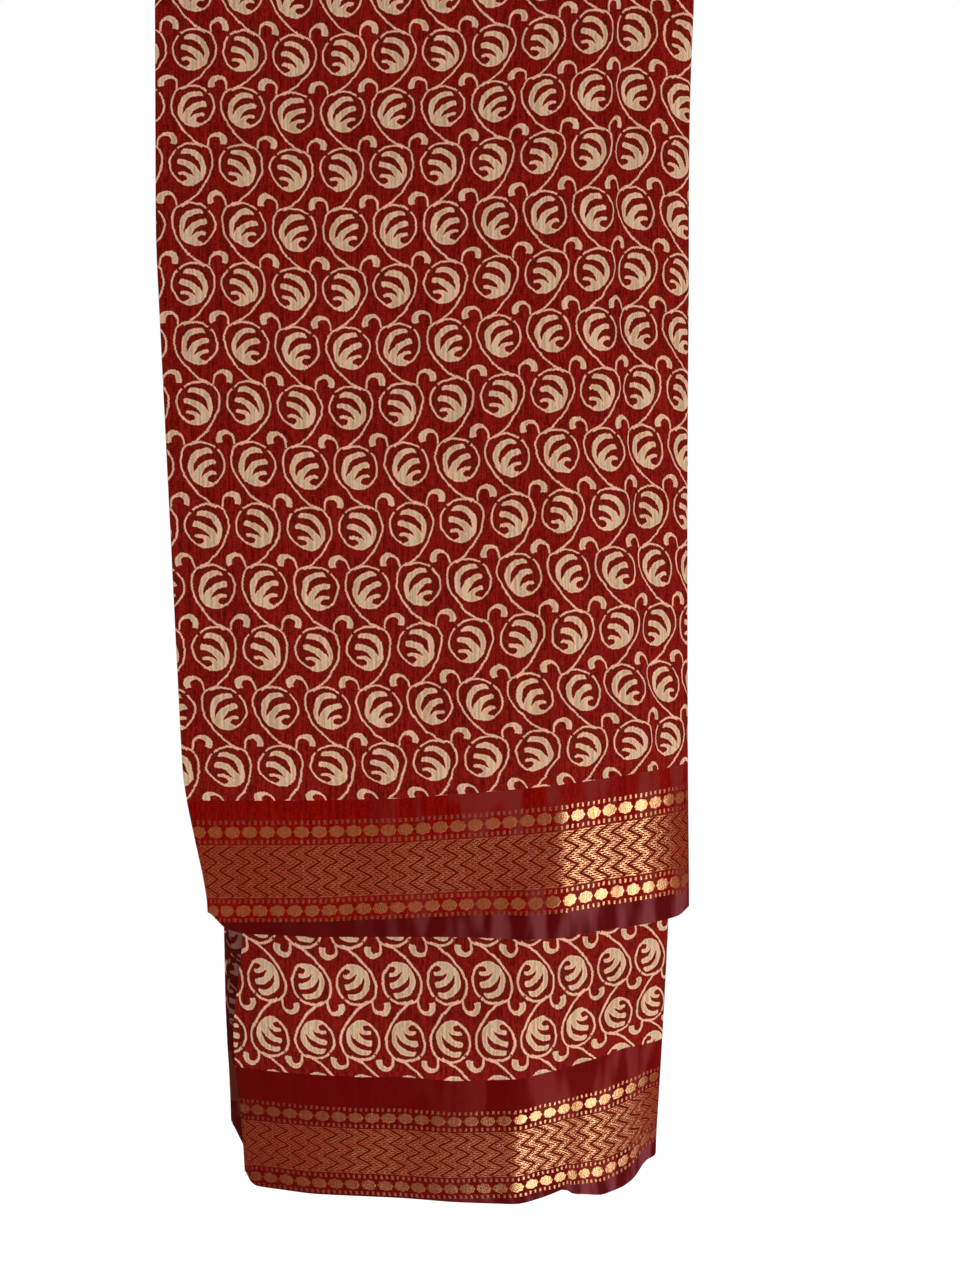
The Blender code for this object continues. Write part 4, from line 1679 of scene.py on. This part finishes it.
@dataclass(frozen=True)
class ZariBorder:
    """The woven border: gold thread over dark red, a plain red band and a maroon selvedge.

    The sheen span says, in millimetres across the weave map, where the paler streaky areas of painted sheen
    on the plain band and the selvedge set in, are full, start to fade and end. Elsewhere a small share of
    them, the least sheen, is left. The bar's side is darkened by a share, as painted shade. The sheen
    thresholds and metal_threads are where the noise's value starts and fully makes an area of painted sheen
    or a gold thread, and metal_rim the same for how much of a gold band makes metal.
    """

    plain: Colour = srgb(134, 10, 3)
    plain_dark: Colour = srgb(100, 1, 0)
    # Painted shade: the plain band's colour on the bar's side.
    plain_shaded: Colour = srgb(92, 2, 1)
    # Painted sheen: the paler purplish colour of streaky areas on the plain band.
    plain_sheen: Colour = srgb(120, 32, 27)
    selvedge: Colour = srgb(84, 5, 7)
    # Painted sheen: the paler colour of streaky areas on the selvedge.
    selvedge_sheen: Colour = srgb(118, 48, 54)
    # Where the painted sheen sets in, is full, fades and ends, the share of it left elsewhere, and its noise
    # thresholds.
    sheen_span: tuple[float, float, float, float] = (-60.0, 60.0, 205.0, 320.0)
    least_sheen: float = 0.05
    sheen_patches: tuple[float, float] = (0.42, 0.64)
    metal_threads: tuple[float, float] = (0.42, 0.54)
    metal_rim: tuple[float, float] = (0.0, 0.5)
    dark: Colour = srgb(102, 16, 0)
    gold: Colour = srgb(254, 217, 164)
    gold_dull: Colour = srgb(246, 193, 132)
    silk: Colour = srgb(190, 30, 0)
    rosette_silk: Colour = srgb(186, 76, 28)
    # Painted shade: the rosettes' colour on the bar's side.
    rosette_shaded: Colour = srgb(150, 48, 18)
    dots_silk: Colour = srgb(150, 30, 12)
    # Share by which the bar's side takes its painted shade colours.
    bar_side_shade: float = 0.8
    specular: float = 0.02
    roughness: float = 0.5
    gold_roughness: float = 0.26
    gold_relief: float = 0.6
    relief: float = 0.3

    def material(self, bands: Tree, weave: Tree) -> Material:
        """Make the material.

        Gold threads are metal and dark silk threads lie between them, so the bands shine where the
        light strikes and look brownish red elsewhere. Paler streaky areas on the plain bands and the
        selvedge are painted sheen.

        Args:
            bands: the border's node group.
            weave: the ground's node group.

        Returns:
            The material.
        """
        material, b, shader = new_material("zari_border")
        place = uv_map(b, "weave")
        threads = b.group(weave, Vector=place).outputs
        band = b.group(bands, Vector=place).outputs
        aside = b.split(place)[0]
        # Painted shade: the bar's side of the border is darkened.
        deep = b.times(b.fade(aside, *BAR_SIDE), self.bar_side_shade)
        # Painted sheen: paler streaky areas on the plain band and the selvedge, strongest within the span.
        start, full, late, end = self.sheen_span
        sheen_span = b.times(b.fade(aside, start, full), b.fade(aside, end, late))
        sheen_patches = b.fade(b.streaks(place, 0.09, 0.02, 1.0, 1.5), *self.sheen_patches)
        sheen_patches = b.times(sheen_patches, b.times_plus(sheen_span, 1 - self.least_sheen, self.least_sheen))
        plain = b.mix(deep, b.mix(threads["Tone"], self.plain_dark, self.plain), self.plain_shaded)
        plain = b.mix(sheen_patches, plain, self.plain_sheen)
        edge = b.mix(sheen_patches, self.selvedge, self.selvedge_sheen)
        ground = b.mix(band["Selvedge"], plain, edge)
        metal_thread = b.fade(b.streaks(place, 2.0, 6.0, 1.0, 0.0), *self.metal_threads)
        gold = b.mix(threads["Slub"], self.gold_dull, self.gold)
        rosettes = b.mix(deep, self.rosette_silk, self.rosette_shaded)
        silk = b.mix(band["Dots"], b.mix(band["Rosettes"], self.silk, rosettes), self.dots_silk)
        colour = b.mix(band["Gold"], ground, b.mix(metal_thread, silk, gold))
        metal = b.times(b.fade(band["Gold"], *self.metal_rim), metal_thread)
        b.feed(shader, Base_Color=b.mix(band["Dark"], colour, self.dark),
               Metallic=b.times(metal, b.minus(1.0, band["Dark"])),
               Roughness=b.times_plus(band["Gold"], self.gold_roughness - self.roughness, self.roughness),
               Specular_IOR_Level=self.specular)
        height = b.times_plus(band["Gold"], self.gold_relief, threads["Height"])
        add_thread_bump(b, shader, height, self.relief)
        return material


@dataclass(frozen=True)
class FoldedCloth:
    """The folded layers: the same red cloth, seen at its folded edges, with zari near the hems.

    Its ground, cream and gold are darker than the outer cloth's colours: painted shade for the layers
    inside the stack. The print starts and the zari band starts and ends at these millimetres from the hem.
    """

    # Painted shade: the outer cloth's ground, cream and gold, darkened for the layers inside the stack.
    ground: Colour = srgb(98, 12, 8)
    ground_dark: Colour = srgb(66, 8, 6)
    cream: Colour = srgb(158, 112, 92)
    gold: Colour = srgb(128, 66, 34)
    field_start: tuple[float, float] = (70.0, 74.0)
    band_start: tuple[float, float] = (24.0, 25.0)
    band_end: tuple[float, float] = (52.0, 51.0)
    print_share: float = 0.6
    gold_share: float = 0.3
    roughness: float = 0.7
    specular: float = 0.03
    relief: float = 0.3

    def material(self, vine: Tree, weave: Tree) -> Material:
        """Make the material.

        Args:
            vine: the print's node group.
            weave: the ground's node group.

        Returns:
            The material.
        """
        material, b, shader = new_material("folded_cloth")
        place = uv_map(b, "weave")
        threads = b.group(weave, Vector=place).outputs
        prints = b.group(vine, Vector=uv_map(b, "print")).outputs
        from_hem = b.split(place)[1]
        ground = b.mix(threads["Tone"], self.ground_dark, self.ground)
        field = b.times(b.fade(from_hem, *self.field_start), self.print_share)
        colour = b.mix(b.times(prints["Print"], field), ground, self.cream)
        band = b.times(b.fade(from_hem, *self.band_start), b.fade(from_hem, *self.band_end))
        b.feed(shader, Base_Color=b.mix(b.times(band, self.gold_share), colour, self.gold),
               Roughness=self.roughness, Specular_IOR_Level=self.specular)
        add_thread_bump(b, shader, threads["Height"], self.relief)
        return material


# ---------------------------------------------------------------- studio


class Lamp(NamedTuple):
    """An area light that faces the cloth.

    It stands turn degrees round from the camera's side, positive to the right, lift degrees above
    level and away from the cloth's middle. Its size is its width and height, its power is in watts,
    and glossy says whether shiny threads mirror it.
    """

    name: str
    turn: float
    lift: float
    away: float
    size: tuple[float, float]
    power: float
    glossy: bool


@dataclass(frozen=True)
class Studio:
    """The camera at the photograph's viewing angle, soft lights and a plain pale floor."""

    camera_place: tuple[float, float, float] = (0.0285, -0.497, -0.3355)
    lens: float = 27.03
    sensor: float = 36.0
    cloth_middle: tuple[float, float, float] = (0.0, 0.0, -0.32)
    sun_power: float = 3.6
    sun_angle: float = 0.3
    sun_height: float = 1.5
    floor_z: float = -1.60
    floor_reach: float = 6.0
    floor_tones: tuple[Colour, Colour] = (srgb(236, 235, 233), srgb(242, 241, 240))
    ambient: float = 0.14
    mirrored: float = 0.0
    lamps: tuple[Lamp, ...] = (
        Lamp("window", 49.0, -24.0, 1.25, (0.58, 1.4), 8.4, True),
        Lamp("low window", 24.0, -48.0, 1.25, (0.35, 0.4), 1.0, True),
        Lamp("room", -18.0, 42.0, 1.8, (1.6, 1.2), 4.3, False),
        Lamp("behind", 150.0, 30.0, 1.8, (1.2, 1.2), 10.0, True),
    )

    def add(self, name: str, data: bpy.types.ID, place: Sequence[float], turn: Sequence[float] = (0, 0, 0),
            glossy: bool = False) -> Thing:
        """Add an object to the scene.

        Args:
            name: its name.
            data: its mesh, light or camera.
            place: where it stands.
            turn: its rotation.
            glossy: whether shiny threads mirror it.

        Returns:
            The object.
        """
        thing = bpy.data.objects.new(name, data)
        thing.location = place
        thing.rotation_euler = turn
        thing.visible_glossy = glossy
        bpy.context.scene.collection.objects.link(thing)
        return thing

    def camera(self) -> None:
        """Place the camera, level and looking along Y."""
        data = bpy.data.cameras.new("camera")
        data.sensor_fit = "VERTICAL"
        data.sensor_height = self.sensor
        data.lens = self.lens
        data.clip_start = 0.01
        bpy.context.scene.camera = self.add("camera", data, self.camera_place, (np.pi / 2, 0.0, 0.0))

    def light(self, lamp: Lamp) -> None:
        """Place an area light that faces the cloth.

        The way from the cloth's middle to the light is (sin turn cos lift, -cos turn cos lift,
        sin lift).

        Args:
            lamp: the light.
        """
        data = bpy.data.lights.new(lamp.name, "AREA")
        data.shape = "RECTANGLE"
        data.size, data.size_y = lamp.size
        data.energy = lamp.power
        a, e = np.radians(lamp.turn), np.radians(lamp.lift)
        way = np.array([np.sin(a) * np.cos(e), -np.cos(a) * np.cos(e), np.sin(e)])
        self.add(lamp.name, data, np.array(self.cloth_middle) + lamp.away * way, (np.pi / 2 - e, 0.0, a),
                 lamp.glossy)

    def sky(self) -> None:
        """Light the floor evenly from straight above."""
        data = bpy.data.lights.new("above", "SUN")
        data.energy = self.sun_power
        data.angle = self.sun_angle
        self.add("above", data, (0.0, 0.0, self.sun_height))

    def floor(self) -> None:
        """Lay a wide pale floor below the cloth."""
        reach = self.floor_reach * np.array([[-1.0, -1.0], [1.0, -1.0], [1.0, 1.0], [-1.0, 1.0]])
        mesh = bpy.data.meshes.new("floor")
        mesh.from_pydata(np.column_stack([reach, np.full(4, self.floor_z)]).tolist(), [], [[0, 1, 2, 3]])
        material, b, shader = new_material("pale_floor")
        place = b.node("ShaderNodeTexCoord").outputs["Object"]
        b.feed(shader, Base_Color=b.mix(b.noise(place, 3.0).outputs[0], *self.floor_tones), Roughness=0.9)
        mesh.materials.append(material)
        self.add("floor", mesh, (0.0, 0.0, 0.0))

    def world(self) -> None:
        """Surround the scene with pale light: white to the camera, and dim where shiny threads mirror it."""
        world = bpy.data.worlds.new("pale_room")
        world.use_nodes = True
        bpy.context.scene.world = world
        b = Board(world.node_tree)
        path = b.node("ShaderNodeLightPath").outputs
        strength = b.times_plus(path["Is Glossy Ray"], self.mirrored - self.ambient, self.ambient)
        strength = b.times_plus(path["Is Camera Ray"], 1.0 - self.ambient, strength)
        b.feed(world.node_tree.nodes["Background"], Strength=strength, Color=(1.0, 1.0, 1.0, 1.0))

    def build(self) -> None:
        """Set up the whole studio."""
        bpy.context.scene.view_settings.view_transform = "Standard"
        self.camera()
        self.floor()
        self.world()
        for lamp in self.lamps:
            self.light(lamp)
        self.sky()


# ---------------------------------------------------------------- assembly


def main() -> None:
    """Build the studio and the sari."""
    logging.basicConfig(level=logging.INFO, format="%(message)s")
    Studio().build()
    vine = VinePrint().group()
    weave = HandWeave().group()
    bands = ZariBands().group()
    materials = {
        Slot.PRINTED: PrintedCloth().material(vine, weave),
        Slot.BORDER: ZariBorder().material(bands, weave),
        Slot.FOLDED: FoldedCloth().material(vine, weave),
    }

    for cloth in (OuterCloth(), FoldedLayers()):
        pieces = cloth.build()
        cloth.dress(pieces, materials)
        for piece, stretch in zip(pieces, cloth.stretches):
            log.info("%s: %d faces, cut %.3f by %.3f m", piece.name, len(piece.data.polygons), *stretch.flat)


if __name__ == "__main__":
    main()
